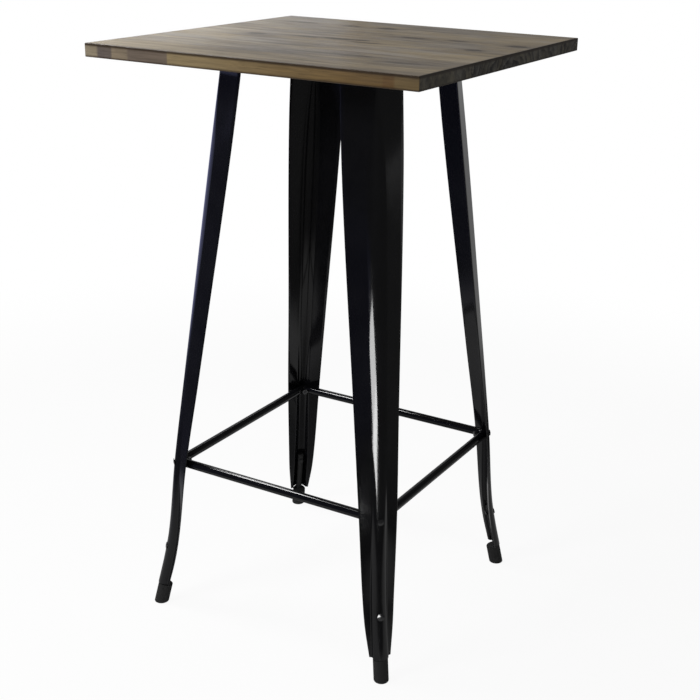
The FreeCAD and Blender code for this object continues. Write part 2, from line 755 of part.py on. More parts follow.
# Along the foot bolt, from the plug's axis
FOOT_NUT_FACE = f"({PLUG_RADIUS} - {cell('plug_stem_diameter')} - {cell('head_clearance')})"
FOOT_NUT_BACK = f"({FOOT_NUT_FACE} - {cell('foot_nut_height')})"
FOOT_SEAT = f"({TOE.radius} * cos({TOE_LEAN}) + {cell('plug_clearance')} + {cell('head_clearance')})"

# Along the apron bolt, from the table's axis
APRON_SEAT = f"({FLANK_FACE} + {cell('head_clearance')})"
APRON_NUT_FACE = f"({FLANK_FACE} - {cell('sheet_thickness')} - {cell('rail_thickness')})"
APRON_NUT_BACK = f"({APRON_NUT_FACE} - {cell('apron_nut_height')})"


def bolt_tip(nut_back):
    """End of a bolt's shank, beyond its nut."""
    return f"({nut_back} - {cell('bolt_tail')})"


def make_ring_bolts():
    """Bolt through each leg and the corner of the ring inside it."""
    body = new_body("ring_bolts", LEG_ANGLES[FIRST_LEG])
    sketch = new_sketch(body, "ring_bolt", "XZ_Plane", ("0", cell("ring_height"), "0"))
    add_quarter_turns(body, [add_bolt(body, sketch, RING_SEAT, bolt_tip(RING_NUT_BACK), "ring")])
    return body


def make_ring_nuts():
    """Nut of each ring bolt, inside the ring's corner."""
    body = new_body("ring_nuts", LEG_ANGLES[FIRST_LEG])
    sketch = new_sketch(body, "ring_nut", "YZ_Plane", ("0", cell("ring_height"), RING_NUT_BACK))
    add_quarter_turns(body, [add_nut(body, sketch, "ring")])
    return body


def make_foot_bolts():
    """Bolt through each leg and the stem of its foot plug."""
    body = new_body("foot_bolts", LEG_ANGLES[FIRST_LEG])
    at = (FOOT_BOLT_CENTRE, cell("foot_bolt_height"), "0")
    sketch = new_sketch(body, "foot_bolt", "XZ_Plane", at, Vector(0, 0, 1), TOE_LEAN)
    add_quarter_turns(body, [add_bolt(body, sketch, FOOT_SEAT, bolt_tip(FOOT_NUT_BACK), "foot")])
    return body


def make_foot_nuts():
    """Nut of each foot bolt, behind the plug's stem."""
    body = new_body("foot_nuts", LEG_ANGLES[FIRST_LEG])
    at = (
        "0",
        f"({cell('foot_bolt_height')} + {FOOT_NUT_BACK} * sin({TOE_LEAN}))",
        f"({FOOT_BOLT_CENTRE} + {FOOT_NUT_BACK} * cos({TOE_LEAN}))",
    )
    sketch = new_sketch(body, "foot_nut", "YZ_Plane", at, Vector(-1, 0, 0), TOE_LEAN)
    add_quarter_turns(body, [add_nut(body, sketch, "foot")])
    return body


def make_apron_bolts():
    """Two bolts for each leg, square to its flanks."""
    body = new_body("apron_bolts", LEG_ANGLES[FIRST_LEG])
    bolts = []
    for side, sign in (("left", 1), ("right", -1)):
        at = (
            negative(f"({APRON_BOLT_ALONG} * sin({FLANK_ANGLE}))"),
            APRON_BOLT_LEVEL,
            f"({-sign} * {APRON_BOLT_ALONG} * cos({FLANK_ANGLE}))",
        )
        sketch = new_sketch(body, f"apron_bolt_{side}", "XZ_Plane", at, Vector(0, sign, 0), FLANK_ANGLE)
        bolts.append(add_bolt(body, sketch, APRON_SEAT, bolt_tip(APRON_NUT_BACK), "apron"))
    add_quarter_turns(body, bolts)
    return body


def make_apron_nuts():
    """Nut of each apron bolt, on the inside of the rail's tab."""
    body = new_body("apron_nuts", LEG_ANGLES[FIRST_LEG])
    nuts = []
    for side, sign in (("left", 1), ("right", -1)):
        along = APRON_BOLT_ALONG
        at = (
            f"({sign} * ({along} * cos({FLANK_ANGLE}) + {APRON_NUT_BACK} * sin({FLANK_ANGLE})))",
            APRON_BOLT_LEVEL,
            f"({APRON_NUT_BACK} * cos({FLANK_ANGLE}) - {along} * sin({FLANK_ANGLE}))",
        )
        sketch = new_sketch(body, f"apron_nut_{side}", "YZ_Plane", at, Vector(0, sign, 0), FLANK_ANGLE)
        nuts.append(add_nut(body, sketch, "apron"))
    add_quarter_turns(body, nuts)
    return body


def add_screw(body, name, x, y, seat):
    """Wood screw pointing up, its head below the seat level."""
    sketch = new_sketch(body, name, "XZ_Plane", (x, "0", negative(y)))
    head = f"({cell('screw_head_diameter')} / 2)"
    shank = f"({cell('screw_diameter')} / 2)"
    tip = f"({UNDERSIDE} + {cell('screw_bite')})"
    points = [
        ("0", f"({seat} - {cell('screw_head_height')})"),
        (f"({head} / 2)", f"({seat} - {cell('screw_head_height')})"),
        (head, f"({seat} - {cell('screw_head_height')} / 2)"),
        (head, seat),
        (shank, seat),
        (shank, f"({tip} - {cell('screw_point')})"),
        ("0", tip),
    ]
    add_outline(sketch, points)
    return add_revolution(body, sketch, "V_Axis")


def make_plate_screws():
    """Screw through each leg plate into the top."""
    body = new_body("plate_screws", LEG_ANGLES[FIRST_LEG])
    seat = f"({UNDERSIDE} - {cell('plate_thickness')})"
    add_quarter_turns(body, [add_screw(body, "plate_screw", PLATE_SCREW, "0", seat)])
    return body


def make_rail_screws():
    """Two screws through each rail's flange into the top."""
    body = new_body("rail_screws", RAIL_ANGLES[FIRST_RAIL])
    seat = f"({UNDERSIDE} - {cell('rail_thickness')})"
    across, along = RAIL_SCREW
    pair = [
        add_screw(body, "rail_screw_far", across, along, seat),
        add_screw(body, "rail_screw_near", across, negative(along), seat),
    ]
    add_quarter_turns(body, pair)
    return body


# The whole table

def make_table():
    """Every sub-part of the table."""
    pieces = [make_stave(index) for index in range(STAVE_COUNT)]
    pieces += leg_copies(make_leg(), "leg")
    pieces += leg_copies(make_leg_plate(), "leg_plate")
    pieces += leg_copies(make_foot_plug(), "foot_plug")
    rail = make_rail()
    pieces.append(rail)
    for side, angle in RAIL_ANGLES.items():
        if side != FIRST_RAIL:
            pieces.append(copy_body(rail, f"apron_rail_{side}", angle))
    pieces += [
        make_foot_ring(),
        make_ring_bolts(),
        make_ring_nuts(),
        make_foot_bolts(),
        make_foot_nuts(),
        make_apron_bolts(),
        make_apron_nuts(),
        make_plate_screws(),
        make_rail_screws(),
    ]
    return pieces


def check_document(pieces):
    """Stop if any feature failed or any sub-part has no sound solid."""
    for item in doc.Objects:
        if {"Invalid", "Error"} & set(item.State):
            raise RuntimeError(f"{item.Label} failed: {item.State}")
    for piece in pieces:
        if piece.Shape.isNull() or not piece.Shape.isValid() or not piece.Shape.Solids:
            raise RuntimeError(f"{piece.Label} has no sound solid")


table = make_table()
doc.recompute()
check_document(table)
os.makedirs("parts", exist_ok=True)
for piece in table:
    piece.Shape.exportStep(f"parts/{piece.Label}.step")
print(f"{len(table)} sub-parts written")
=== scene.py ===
import math
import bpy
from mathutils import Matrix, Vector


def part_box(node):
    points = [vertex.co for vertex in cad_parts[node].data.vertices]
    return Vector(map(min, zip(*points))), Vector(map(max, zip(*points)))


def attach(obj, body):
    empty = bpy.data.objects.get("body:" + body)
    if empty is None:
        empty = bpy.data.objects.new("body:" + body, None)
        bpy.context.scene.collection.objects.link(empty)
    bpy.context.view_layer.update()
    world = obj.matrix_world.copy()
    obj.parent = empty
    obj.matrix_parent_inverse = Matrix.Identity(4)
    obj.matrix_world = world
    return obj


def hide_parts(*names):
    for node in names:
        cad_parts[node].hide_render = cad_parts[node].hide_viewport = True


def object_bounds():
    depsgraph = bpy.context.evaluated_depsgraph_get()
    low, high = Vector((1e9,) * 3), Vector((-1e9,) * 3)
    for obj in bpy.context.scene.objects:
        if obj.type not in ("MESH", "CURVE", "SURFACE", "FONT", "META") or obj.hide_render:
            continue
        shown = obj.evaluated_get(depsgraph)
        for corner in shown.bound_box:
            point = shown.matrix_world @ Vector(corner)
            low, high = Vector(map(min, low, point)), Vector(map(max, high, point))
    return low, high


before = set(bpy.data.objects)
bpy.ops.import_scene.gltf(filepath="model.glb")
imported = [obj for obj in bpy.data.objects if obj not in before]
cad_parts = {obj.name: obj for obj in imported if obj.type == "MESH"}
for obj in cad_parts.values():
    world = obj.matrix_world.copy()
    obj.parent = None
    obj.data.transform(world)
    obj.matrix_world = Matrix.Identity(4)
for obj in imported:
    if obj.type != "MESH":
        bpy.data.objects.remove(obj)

from types import SimpleNamespace

import bmesh
import bpy
from bpy.props import FloatProperty, FloatVectorProperty, PointerProperty
from mathutils import Matrix, Vector

bl_info = {
    "name": "Pub table",
    "version": (1, 0, 0),
    "blender": (4, 5, 0),
    "location": "3D View > Sidebar > Pub table",
    "description": "Dresses a square pub table: stained stave top, gloss black pressed legs and foot ring",
    "category": "Object",
}

CAD_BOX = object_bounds()
TOP_LOW, TOP_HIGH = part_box("top_stave_1")
STAVES = sorted(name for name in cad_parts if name.startswith("top_stave_"))
CORNERS = {"front_left": 225, "front_right": 315, "back_right": 45, "back_left": 135}


# Sizes and colours that a user would change

class LegSizes(bpy.types.PropertyGroup):
    """Pressed leg: stations give height, nose distance from the table's axis, and half width."""

    sheet: FloatProperty(name="Sheet", description="Thickness of the steel", default=0.0015, unit="LENGTH")
    web: FloatProperty(
        name="Web", description="Straight stretch beside the rib", default=0.002, unit="LENGTH"
    )
    fold: FloatProperty(
        name="Fold", description="Length over which each crease is rounded", default=0.0018, unit="LENGTH"
    )
    crown: FloatVectorProperty(
        name="Crown", description="Upright top of the leg", size=3,
        default=(1.004, 0.212, 0.052), unit="LENGTH",
    )
    shoulder: FloatProperty(
        name="Shoulder", description="Height where the leg begins to narrow", default=0.880, unit="LENGTH"
    )
    knee: FloatVectorProperty(
        name="Knee", description="Where the rib begins", size=3,
        default=(0.470, 0.28475, 0.03945), unit="LENGTH",
    )
    ring: FloatVectorProperty(
        name="Ring", description="Where the foot ring is bolted", size=3,
        default=(0.292, 0.309, 0.034), unit="LENGTH",
    )
    ankle: FloatVectorProperty(
        name="Ankle", description="Where the leg kicks out", size=3,
        default=(0.145, 0.3245, 0.0283), unit="LENGTH",
    )
    heel: FloatVectorProperty(
        name="Heel", description="Below the kick", size=3, default=(0.095, 0.3343, 0.0254), unit="LENGTH"
    )
    toe: FloatVectorProperty(
        name="Toe", description="Lower end of the sheet", size=3,
        default=(0.042, 0.347, 0.0195), unit="LENGTH",
    )
    crown_round: FloatProperty(
        name="Crown nose", description="Radius of the nose at the crown", default=0.006, unit="LENGTH"
    )
    shoulder_round: FloatProperty(
        name="Shoulder nose", description="Radius of the nose at the shoulder",
        default=0.0335, unit="LENGTH",
    )
    knee_round: FloatProperty(
        name="Knee nose", description="Radius of the nose at the knee", default=0.0335, unit="LENGTH"
    )
    rib_round: FloatProperty(name="Rib", description="Radius of the rib", default=0.0145, unit="LENGTH")
    crown_bend: FloatProperty(
        name="Crown bend", description="Height of the bend below the crown", default=0.016, unit="LENGTH"
    )
    crown_fold: FloatVectorProperty(
        name="Crown folds", description="Nose and flank angles at the crown", size=2,
        default=(math.radians(27), math.radians(27)), unit="ROTATION",
    )
    shoulder_fold: FloatVectorProperty(
        name="Shoulder folds", description="Nose and flank angles at the shoulder", size=2,
        default=(math.radians(20.5), math.radians(30.5)), unit="ROTATION",
    )
    knee_fold: FloatVectorProperty(
        name="Knee folds", description="Nose and flank angles at the knee", size=2,
        default=(math.radians(20.5), math.radians(32.3)), unit="ROTATION",
    )
    ring_fold: FloatVectorProperty(
        name="Ring folds", description="Rib and flank angles at the ring", size=2,
        default=(math.radians(55), math.radians(20)), unit="ROTATION",
    )
    ankle_fold: FloatVectorProperty(
        name="Ankle folds", description="Rib and flank angles at the ankle", size=2,
        default=(math.radians(78), math.radians(5)), unit="ROTATION",
    )
    heel_fold: FloatVectorProperty(
        name="Heel folds", description="Rib and flank angles at the heel", size=2,
        default=(math.radians(82), math.radians(8)), unit="ROTATION",
    )
    toe_fold: FloatVectorProperty(
        name="Toe folds", description="Rib and flank angles at the toe", size=2,
        default=(math.radians(84), math.radians(18)), unit="ROTATION",
    )


class Finishes(bpy.types.PropertyGroup):
    """Colours and gloss of the finishes."""

    paint: FloatVectorProperty(
        name="Paint", description="Black powder coat", subtype="COLOR", default=(0.0035, 0.0035, 0.0042)
    )
    paint_gloss: FloatProperty(
        name="Paint roughness", description="Roughness of the powder coat", default=0.1, min=0, max=1,
        subtype="FACTOR",
    )
    stain_light: FloatVectorProperty(
        name="Light stain", description="Paler timber of the top", subtype="COLOR",
        default=(0.330, 0.270, 0.186),
    )
    stain_dark: FloatVectorProperty(
        name="Dark stain", description="Darker timber of the top", subtype="COLOR",
        default=(0.104, 0.080, 0.057),
    )
    end_light: FloatVectorProperty(
        name="Light end grain", description="Early wood on sawn ends", subtype="COLOR",
        default=(0.134, 0.122, 0.097),
    )
    end_dark: FloatVectorProperty(
        name="Dark end grain", description="Late wood on sawn ends", subtype="COLOR",
        default=(0.014, 0.0125, 0.010),
    )
    crack: FloatVectorProperty(
        name="Cracks", description="Filled cracks and knots", subtype="COLOR", default=(0.036, 0.024, 0.014)
    )
    lacquer: FloatProperty(
        name="Lacquer roughness", description="Roughness of the satin lacquer", default=0.40, min=0, max=1,
        subtype="FACTOR",
    )
    rubber: FloatVectorProperty(
        name="Rubber", description="Foot plugs", subtype="COLOR", default=(0.015, 0.015, 0.015)
    )
    zinc: FloatVectorProperty(
        name="Zinc", description="Plated nuts and screws", subtype="COLOR", default=(0.21, 0.21, 0.215)
    )
    bolt: FloatVectorProperty(
        name="Bolt", description="Blackened bolts", subtype="COLOR", default=(0.010, 0.010, 0.011)
    )


class StageSettings(bpy.types.PropertyGroup):
    """Camera, floor and lamps."""

    lens: FloatProperty(name="Lens", description="Focal length in millimetres", default=63.49)
    azimuth: FloatProperty(
        name="Azimuth", description="Camera's turn from the front towards the right",
        default=math.radians(30.16), unit="ROTATION",
    )
    elevation: FloatProperty(
        name="Elevation", description="Camera above the horizon",
        default=math.radians(20.44), unit="ROTATION",
    )
    roll: FloatProperty(
        name="Roll", description="Camera's tilt", default=math.radians(1.166), unit="ROTATION"
    )
    distance: FloatProperty(
        name="Distance", description="Camera from its target", default=2.2909, unit="LENGTH"
    )
    aside: FloatProperty(
        name="Aside", description="Target to the right of the table's axis", default=0.0217, unit="LENGTH"
    )
    target: FloatProperty(name="Target", description="Height of the target", default=0.4893, unit="LENGTH")
    floor: FloatProperty(name="Floor", description="Radius of the floor", default=40.0, unit="LENGTH")
    sheet: FloatProperty(
        name="Sheet", description="Distance over which the floor's brightness changes",
        default=1.6, unit="LENGTH",
    )
    ambient: FloatProperty(name="Ambient", description="Soft light from all round", default=0.22, min=0)
    shadow: FloatProperty(
        name="Shadow", description="Share of real shade kept on the floor", default=0.07, min=0, max=1,
        subtype="FACTOR",
    )


# Shader node helpers

def empty_tree(owner):
    """Node tree of a material or world, with nothing in it."""
    owner.use_nodes = True
    owner.node_tree.nodes.clear()
    return owner.node_tree


def put(tree, kind, inputs=None, **settings):
    """Add a node, set its settings, and set or link its inputs."""
    node = tree.nodes.new(kind)
    for name, value in settings.items():
        setattr(node, name, value)
    for key, value in (inputs or {}).items():
        if isinstance(value, bpy.types.NodeSocket):
            tree.links.new(value, node.inputs[key])
        else:
            node.inputs[key].default_value = value
    return node


def maths(tree, operation, first, second=0.0, third=0.0, clamp=False):
    """Result of a Math node."""
    values = {0: first, 1: second, 2: third}
    return put(tree, "ShaderNodeMath", values, operation=operation, use_clamp=clamp).outputs[0]


def span(tree, value, low, high, to_low=0.0, to_high=1.0, smooth=True):
    """A value's place between low and high, clamped, as a share between two others."""
    inputs = {"Value": value, "From Min": low, "From Max": high, "To Min": to_low, "To Max": to_high}
    kind = "SMOOTHSTEP" if smooth else "LINEAR"
    return put(tree, "ShaderNodeMapRange", inputs, interpolation_type=kind).outputs["Result"]


def blend(tree, share, first, second, mode="MIX"):
    """Mix of two colours."""
    node = put(tree, "ShaderNodeMix", {"Factor": share}, data_type="RGBA", blend_type=mode)
    for key, value in (("A", first), ("B", second)):
        socket = next(s for s in node.inputs if s.name == key and s.type == "RGBA")
        if isinstance(value, bpy.types.NodeSocket):
            tree.links.new(value, socket)
        else:
            socket.default_value = colour(value)
    return next(s for s in node.outputs if s.type == "RGBA")


def colour(value):
    """A colour with its alpha."""
    return (value[0], value[1], value[2], 1.0)


def vector(tree, x, y, z):
    """Vector from three values."""
    return put(tree, "ShaderNodeCombineXYZ", {"X": x, "Y": y, "Z": z}).outputs[0]


def noise(tree, point, scale, detail=4.0, rough=0.5):
    """Noise value at a point."""
    inputs = {"Vector": point, "Scale": scale, "Detail": detail, "Roughness": rough}
    return put(tree, "ShaderNodeTexNoise", inputs).outputs[0]


def start_group(name, inputs, outputs):
    """New shader node group with its sockets, and its input and output nodes."""
    group = bpy.data.node_groups.new(name, "ShaderNodeTree")
    for label, kind, default in inputs:
        socket = group.interface.new_socket(label, in_out="INPUT", socket_type=kind)
        if default is not None:
            socket.default_value = default
    for label, kind in outputs:
        group.interface.new_socket(label, in_out="OUTPUT", socket_type=kind)
    return group, group.nodes.new("NodeGroupInput").outputs, group.nodes.new("NodeGroupOutput").inputs


def place_group(tree, group, inputs):
    """A node group placed in a material with its own values."""
    return put(tree, "ShaderNodeGroup", inputs, node_tree=group).outputs


def shared_group(name, build):
    """A node group that is built once."""
    return bpy.data.node_groups.get(name) or build(name)


# Node groups

# Noise values that count as low and as high in a cloudy change
CLOUD_LIMITS = (0.32, 0.68)
# Scale of the swell beside that of the small bumps
SWELL_SCALE = 0.12
# How far a mark follows the streaks across the grain, in metres
MARK_WANDER = 0.008
# Outer and inner limits of a mark and of its halo, in squares of its half size
MARK_LIMITS = (1.0, 0.3)
HALO_LIMITS = (4.0, 0.6)


def build_mottle(name):
    """Cloudy change of a value over a surface, between two limits."""
    inputs = [
        ("Point", "NodeSocketVector", None),
        ("Scale", "NodeSocketFloat", 20.0),
        ("Low", "NodeSocketFloat", 0.0),
        ("High", "NodeSocketFloat", 1.0),
    ]
    group, given, result = start_group(name, inputs, [("Value", "NodeSocketFloat")])
    cloud = noise(group, given["Point"], given["Scale"], detail=5.0, rough=0.6)
    group.links.new(span(group, cloud, *CLOUD_LIMITS, given["Low"], given["High"]), result["Value"])
    return group


def build_relief(name):
    """Fine relief of a coating or moulding: small bumps with a larger swell."""
    inputs = [
        ("Point", "NodeSocketVector", None),
        ("Scale", "NodeSocketFloat", 600.0),
        ("Swell", "NodeSocketFloat", 0.5),
    ]
    group, given, result = start_group(name, inputs, [("Height", "NodeSocketFloat")])
    fine = noise(group, given["Point"], given["Scale"], detail=2.0)
    broad = noise(group, given["Point"], maths(group, "MULTIPLY", given["Scale"], SWELL_SCALE), detail=2.0)
    height = maths(group, "MULTIPLY_ADD", broad, given["Swell"], fine)
    group.links.new(height, result["Height"])
    return group


def build_mark(name):
    """Soft long mark on the top: a filled crack or a small knot, and the halo round it."""
    inputs = [
        ("Point", "NodeSocketVector", None),
        ("Wobble", "NodeSocketFloat", 0.0),
        ("Ragged", "NodeSocketFloat", 0.0),
        ("Along", "NodeSocketFloat", 0.0),
        ("Across", "NodeSocketFloat", 0.0),
        ("Length", "NodeSocketFloat", 0.02),
        ("Width", "NodeSocketFloat", 0.004),
    ]
    outputs = [("Core", "NodeSocketFloat"), ("Halo", "NodeSocketFloat")]
    group, given, result = start_group(name, inputs, outputs)
    parts = put(group, "ShaderNodeSeparateXYZ", {0: given["Point"]}).outputs
    along = maths(group, "DIVIDE", maths(group, "SUBTRACT", parts["X"], given["Along"]), given["Length"])
    offset = maths(group, "SUBTRACT", parts["Y"], given["Across"])
    bent = maths(group, "MULTIPLY_ADD", given["Wobble"], MARK_WANDER, offset)
    across = maths(group, "DIVIDE", bent, given["Width"])
    square = maths(group, "MULTIPLY_ADD", along, along, maths(group, "MULTIPLY", across, across))
    torn = maths(group, "ADD", square, given["Ragged"])
    group.links.new(span(group, torn, *MARK_LIMITS), result["Core"])
    group.links.new(span(group, torn, *HALO_LIMITS), result["Halo"])
    return group


# Finishes

# Clouds of the gloss beside those of the tone, swell and depth of a coat's relief
GLOSS_CLOUD = 2.3
COAT_SWELL = 1.5
COAT_DEPTH = 0.0002
# Lowest and highest roughness of the paint beside its usual one
PAINT_SPREAD = (0.85, 1.25)


def new_material(name):
    """Empty material with its shader, its object coordinates and its node tree."""
    material = bpy.data.materials.new(name)
    tree = empty_tree(material)
    shader = tree.nodes.new("ShaderNodeBsdfPrincipled")
    output = tree.nodes.new("ShaderNodeOutputMaterial")
    tree.links.new(shader.outputs[0], output.inputs["Surface"])
    point = tree.nodes.new("ShaderNodeTexCoord").outputs["Object"]
    return material, tree, shader.inputs, point


def coated(name, base, lift, rough, cloud, fine, bump, metallic=0.0, ior=1.45):
    """Finish with a cloudy tone, uneven gloss and a fine relief, used for paint, rubber and plating."""
    material, tree, shader, point = new_material(name)
    mottle = shared_group("Cloudy value", build_mottle)
    relief = shared_group("Fine relief", build_relief)
    tone = place_group(tree, mottle, {"Point": point, "Scale": cloud, "Low": 0.0, "High": 1.0})["Value"]
    lifted = [channel * lift for channel in base]
    tree.links.new(blend(tree, tone, base, lifted), shader["Base Color"])
    gloss = {"Point": point, "Scale": cloud * GLOSS_CLOUD, "Low": rough[0], "High": rough[1]}
    tree.links.new(place_group(tree, mottle, gloss)["Value"], shader["Roughness"])
    height = place_group(tree, relief, {"Point": point, "Scale": fine, "Swell": COAT_SWELL})["Height"]
    normal = put(tree, "ShaderNodeBump", {"Strength": bump, "Distance": COAT_DEPTH, "Height": height})
    tree.links.new(normal.outputs[0], shader["Normal"])
    shader["Metallic"].default_value = metallic
    shader["IOR"].default_value = ior
    return material


def shared_material(name, build):
    """A material that is built once."""
    return bpy.data.materials.get(name) or build(name)


def black_paint(name):
    """Gloss black powder coat."""
    look = bpy.context.scene.table_finishes
    rough = [look.paint_gloss * share for share in PAINT_SPREAD]
    return coated(name, look.paint, lift=1.5, rough=rough, cloud=14.0, fine=650.0, bump=0.05)


def blackened_steel(name):
    """Blackened steel of the bolts."""
    look = bpy.context.scene.table_finishes
    return coated(
        name, look.bolt, lift=1.8, rough=(0.16, 0.28), cloud=90.0, fine=1500.0, bump=0.08, ior=1.6
    )


def zinc_plate(name):
    """Dull zinc plating."""
    look = bpy.context.scene.table_finishes
    return coated(
        name, look.zinc, lift=0.8, rough=(0.30, 0.48), cloud=120.0, fine=1800.0, bump=0.12, metallic=1.0
    )


def foot_rubber(name):
    """Moulded black rubber."""
    look = bpy.context.scene.table_finishes
    return coated(
        name, look.rubber, lift=1.3, rough=(0.42, 0.58), cloud=60.0, fine=1100.0, bump=0.25, ior=1.33
    )


# Timber of the top

# Lengths jointed end to end in the edge staves: where each begins along the edge, and its end tones, which
# grow darker towards the +X end, partly the timber's own tone and partly painted shade where the light
# falls off
EDGE_LENGTHS_AND_SHADE = [
    (0.0, (0.265, 0.222, 0.155), (0.250, 0.205, 0.140)),
    (0.044, (0.115, 0.095, 0.084), (0.125, 0.103, 0.088)),
    (0.092, (0.240, 0.190, 0.130), (0.225, 0.180, 0.125)),
    (0.146, (0.150, 0.119, 0.095), (0.165, 0.128, 0.098)),
    (0.277, (0.320, 0.245, 0.125), (0.205, 0.138, 0.058)),
    (0.62, (0.202, 0.135, 0.056), (0.160, 0.098, 0.036)),
    (0.905, (0.140, 0.078, 0.028), (0.145, 0.082, 0.030)),
    (0.935, (0.175, 0.120, 0.052), (0.165, 0.114, 0.050)),
]
JOINT_WIDTH = 0.002

# Cracks and knots on the top: along, across, length, width in metres, and depth of tone
TOP_MARKS = [
    (-0.032, 0.213, 0.026, 0.012, 0.95),
    (-0.216, 0.206, 0.038, 0.011, 0.85),
    (-0.019, 0.014, 0.040, 0.012, 1.00),
    (0.022, 0.018, 0.024, 0.009, 0.85),
    (-0.079, 0.008, 0.032, 0.011, 0.85),
    (-0.172, -0.008, 0.022, 0.012, 0.95),
    (-0.105, 0.206, 0.026, 0.011, 0.70),
    (0.076, 0.107, 0.030, 0.010, 0.80),
    (0.160, 0.114, 0.024, 0.010, 0.75),
    (0.275, 0.107, 0.024, 0.013, 0.95),
    (0.237, 0.015, 0.020, 0.011, 0.90),
    (0.050, -0.008, 0.044, 0.009, 0.65),
    (0.083, -0.168, 0.115, 0.009, 0.75),
    (0.213, -0.201, 0.050, 0.009, 0.70),
    (-0.098, -0.160, 0.070, 0.008, 0.55),
    (0.030, -0.220, 0.190, 0.090, 0.18),
]

TOP_HALF = TOP_HIGH.x
STAVE_WIDTH = TOP_HIGH.y - TOP_LOW.y

# Start of the staves' chance values, and how far apart those put the staves in the noise
STAVE_SEED = 3.7
STAVE_SHIFT = (9.0, 7.0, 5.0)
# Slow sway of the grain: cycles a metre, and metres
SWAY_SCALE = 5.0
SWAY = 0.030
# Noise of the grain: cycles a metre along and across the staves, detail and roughness
GRAIN_NOISE = {
    "streak": (4.2, 34.0, 5.0, 0.60),
    "line": (8.0, 105.0, 4.0, 0.60),
    "fibre": (12.0, 420.0, 3.0, 0.55),
    "cloud": (3.0, 9.0, 3.0, 0.50),
    "pores": (26.0, 900.0, 2.0, 0.50),
    "twist": (1.0, 38.0, 3.0, 0.55),
    "patch": (6.0, 10.0, 3.0, 0.55),
    "vein": (1.5, 24.0, 2.0, 0.45),
    "cool": (7.5, 13.0, 3.0, 0.60),
    "blotch": (1.0, 60.0, 3.0, 0.60),
    "torn_edge": (45.0, 260.0, 3.0, 0.60),
}

# Share of a face's direction that counts as sideways, and as upward
SIDEWAYS = (0.45, 0.75)
UPWARD = (0.6, 0.9)

# Year rings: the heart line's distance aside and below, a year's width and twist in metres, its sharpness
HEART_ASIDE = 0.08
HEART_DEPTH = 0.015
HEART_SINK = 0.06
YEAR_WIDTH = 0.0145
YEAR_TWIST = 0.034
YEAR_SHARP = 2.4
LATE_CLOUD = (0.36, 0.60, 0.25, 1.15)

# Tone of the face: where streaks are drawn, and the shares that noise and the stave's chance give
DRAWN = (0.06, -0.14, 0.62, 1.0)
STROKE = (0.34, 0.66, -0.36, 0.36)
PATCH = (0.36, 0.64, 0.14, 0.42)
LINE = (0.40, 0.60, 0.0, 0.34)
STAVE_TONE = 0.24
VEIN_BANDS = 11.0
VEIN_SHARP = 3.0
VEIN_TONE = 0.42

# Warm and cool patches of the stain, and the warmer stave at the front
COOL_LIMITS = (0.36, 0.64)
WARM_TINT = (1.05, 1.0, 0.85)
COOL_TINT = (0.95, 1.005, 1.16)
FRONT_STAVE = (-0.16, -0.26)
FRONT_WARMTH = 0.16

# Streaks of the long edges, and tone of the sawn ends
EDGE_STREAK = (0.35, 0.65, 0.34, 0.0)
END_BLOTCH = (0.35, 0.65, 0.0, 0.50)
END_LATE = 0.80
END_STAVE = 0.30

# Fibres and pores
FIBRE_TONE = (0.3, 0.7, 0.80, 1.12)
PORE_LIMITS = (0.62, 0.72, 0.0, 0.35)

# Torn outline of the marks, tone of their halos, and glue lines by their distance in metres
MARK_TEAR = 1.2
HALO_TONE = 0.55
GLUE_LINE = (0.0013, 0.0005, 0.0, 0.5)

# Darker band on the eased arrises: distance in metres, and tone
ARRIS_LEAN = 1.4
UPPER_ARRIS = (0.0056, 0.0024)
LOWER_ARRIS = (0.0042, 0.0012, 0.0, 0.8)
ARRIS_TONE = 0.92

# Lacquer: spread of its roughness, what pores and sawn ends add to it, and the relief under it
LACQUER_SPREAD = 0.08
PORE_DULL = 0.5
END_DULL = 0.2
LACQUER_IOR = 1.45
STREAK_RELIEF = 0.6
PORE_RELIEF = -1.2
MARK_RELIEF = -1.5
RELIEF_STRENGTH = 0.30
RELIEF_DEPTH = 0.0004


def timber_place(tree, point):
    """Where a point lies on the top, its stave's chance values, and the way that its face looks."""
    parts = put(tree, "ShaderNodeSeparateXYZ", {0: point}).outputs
    steps = maths(tree, "DIVIDE", maths(tree, "ADD", parts["Y"], TOP_HALF), STAVE_WIDTH)
    stave = maths(tree, "FLOOR", steps)
    seed = maths(tree, "ADD", stave, STAVE_SEED)
    chance = put(tree, "ShaderNodeTexWhiteNoise", {"W": seed}, noise_dimensions="1D").outputs
    geometry = put(tree, "ShaderNodeNewGeometry").outputs
    normal = put(tree, "ShaderNodeSeparateXYZ", {0: geometry["Normal"]}).outputs
    return SimpleNamespace(
        point=point,
        x=parts["X"],
        y=parts["Y"],
        z=parts["Z"],
        stave=stave,
        within=maths(tree, "FRACT", steps),
        lot=chance["Value"],
        luck=chance["Color"],
        on_end=span(tree, maths(tree, "ABSOLUTE", normal["X"]), *SIDEWAYS),
        on_edge=span(tree, maths(tree, "ABSOLUTE", normal["Y"]), *SIDEWAYS),
        upward=span(tree, normal["Z"], *UPWARD),
    )


def grain_values(tree, at):
    """Noise values drawn out along the staves, with each stave at its own place in the noise."""
    sway = noise(tree, at.point, SWAY_SCALE, detail=2.0)
    bent = maths(tree, "MULTIPLY_ADD", sway, SWAY, at.y)
    shift = put(tree, "ShaderNodeVectorMath", {0: at.luck, 1: STAVE_SHIFT}, operation="MULTIPLY").outputs[0]
    values = {}
    for name, (along, across, detail, rough) in GRAIN_NOISE.items():
        scaled = vector(
            tree,
            maths(tree, "MULTIPLY", at.x, along),
            maths(tree, "MULTIPLY", bent, across),
            maths(tree, "MULTIPLY", at.z, across),
        )
        place = put(tree, "ShaderNodeVectorMath", {0: scaled, 1: shift}, operation="ADD").outputs[0]
        values[name] = noise(tree, place, 1.0, detail, rough)
    return SimpleNamespace(**values)


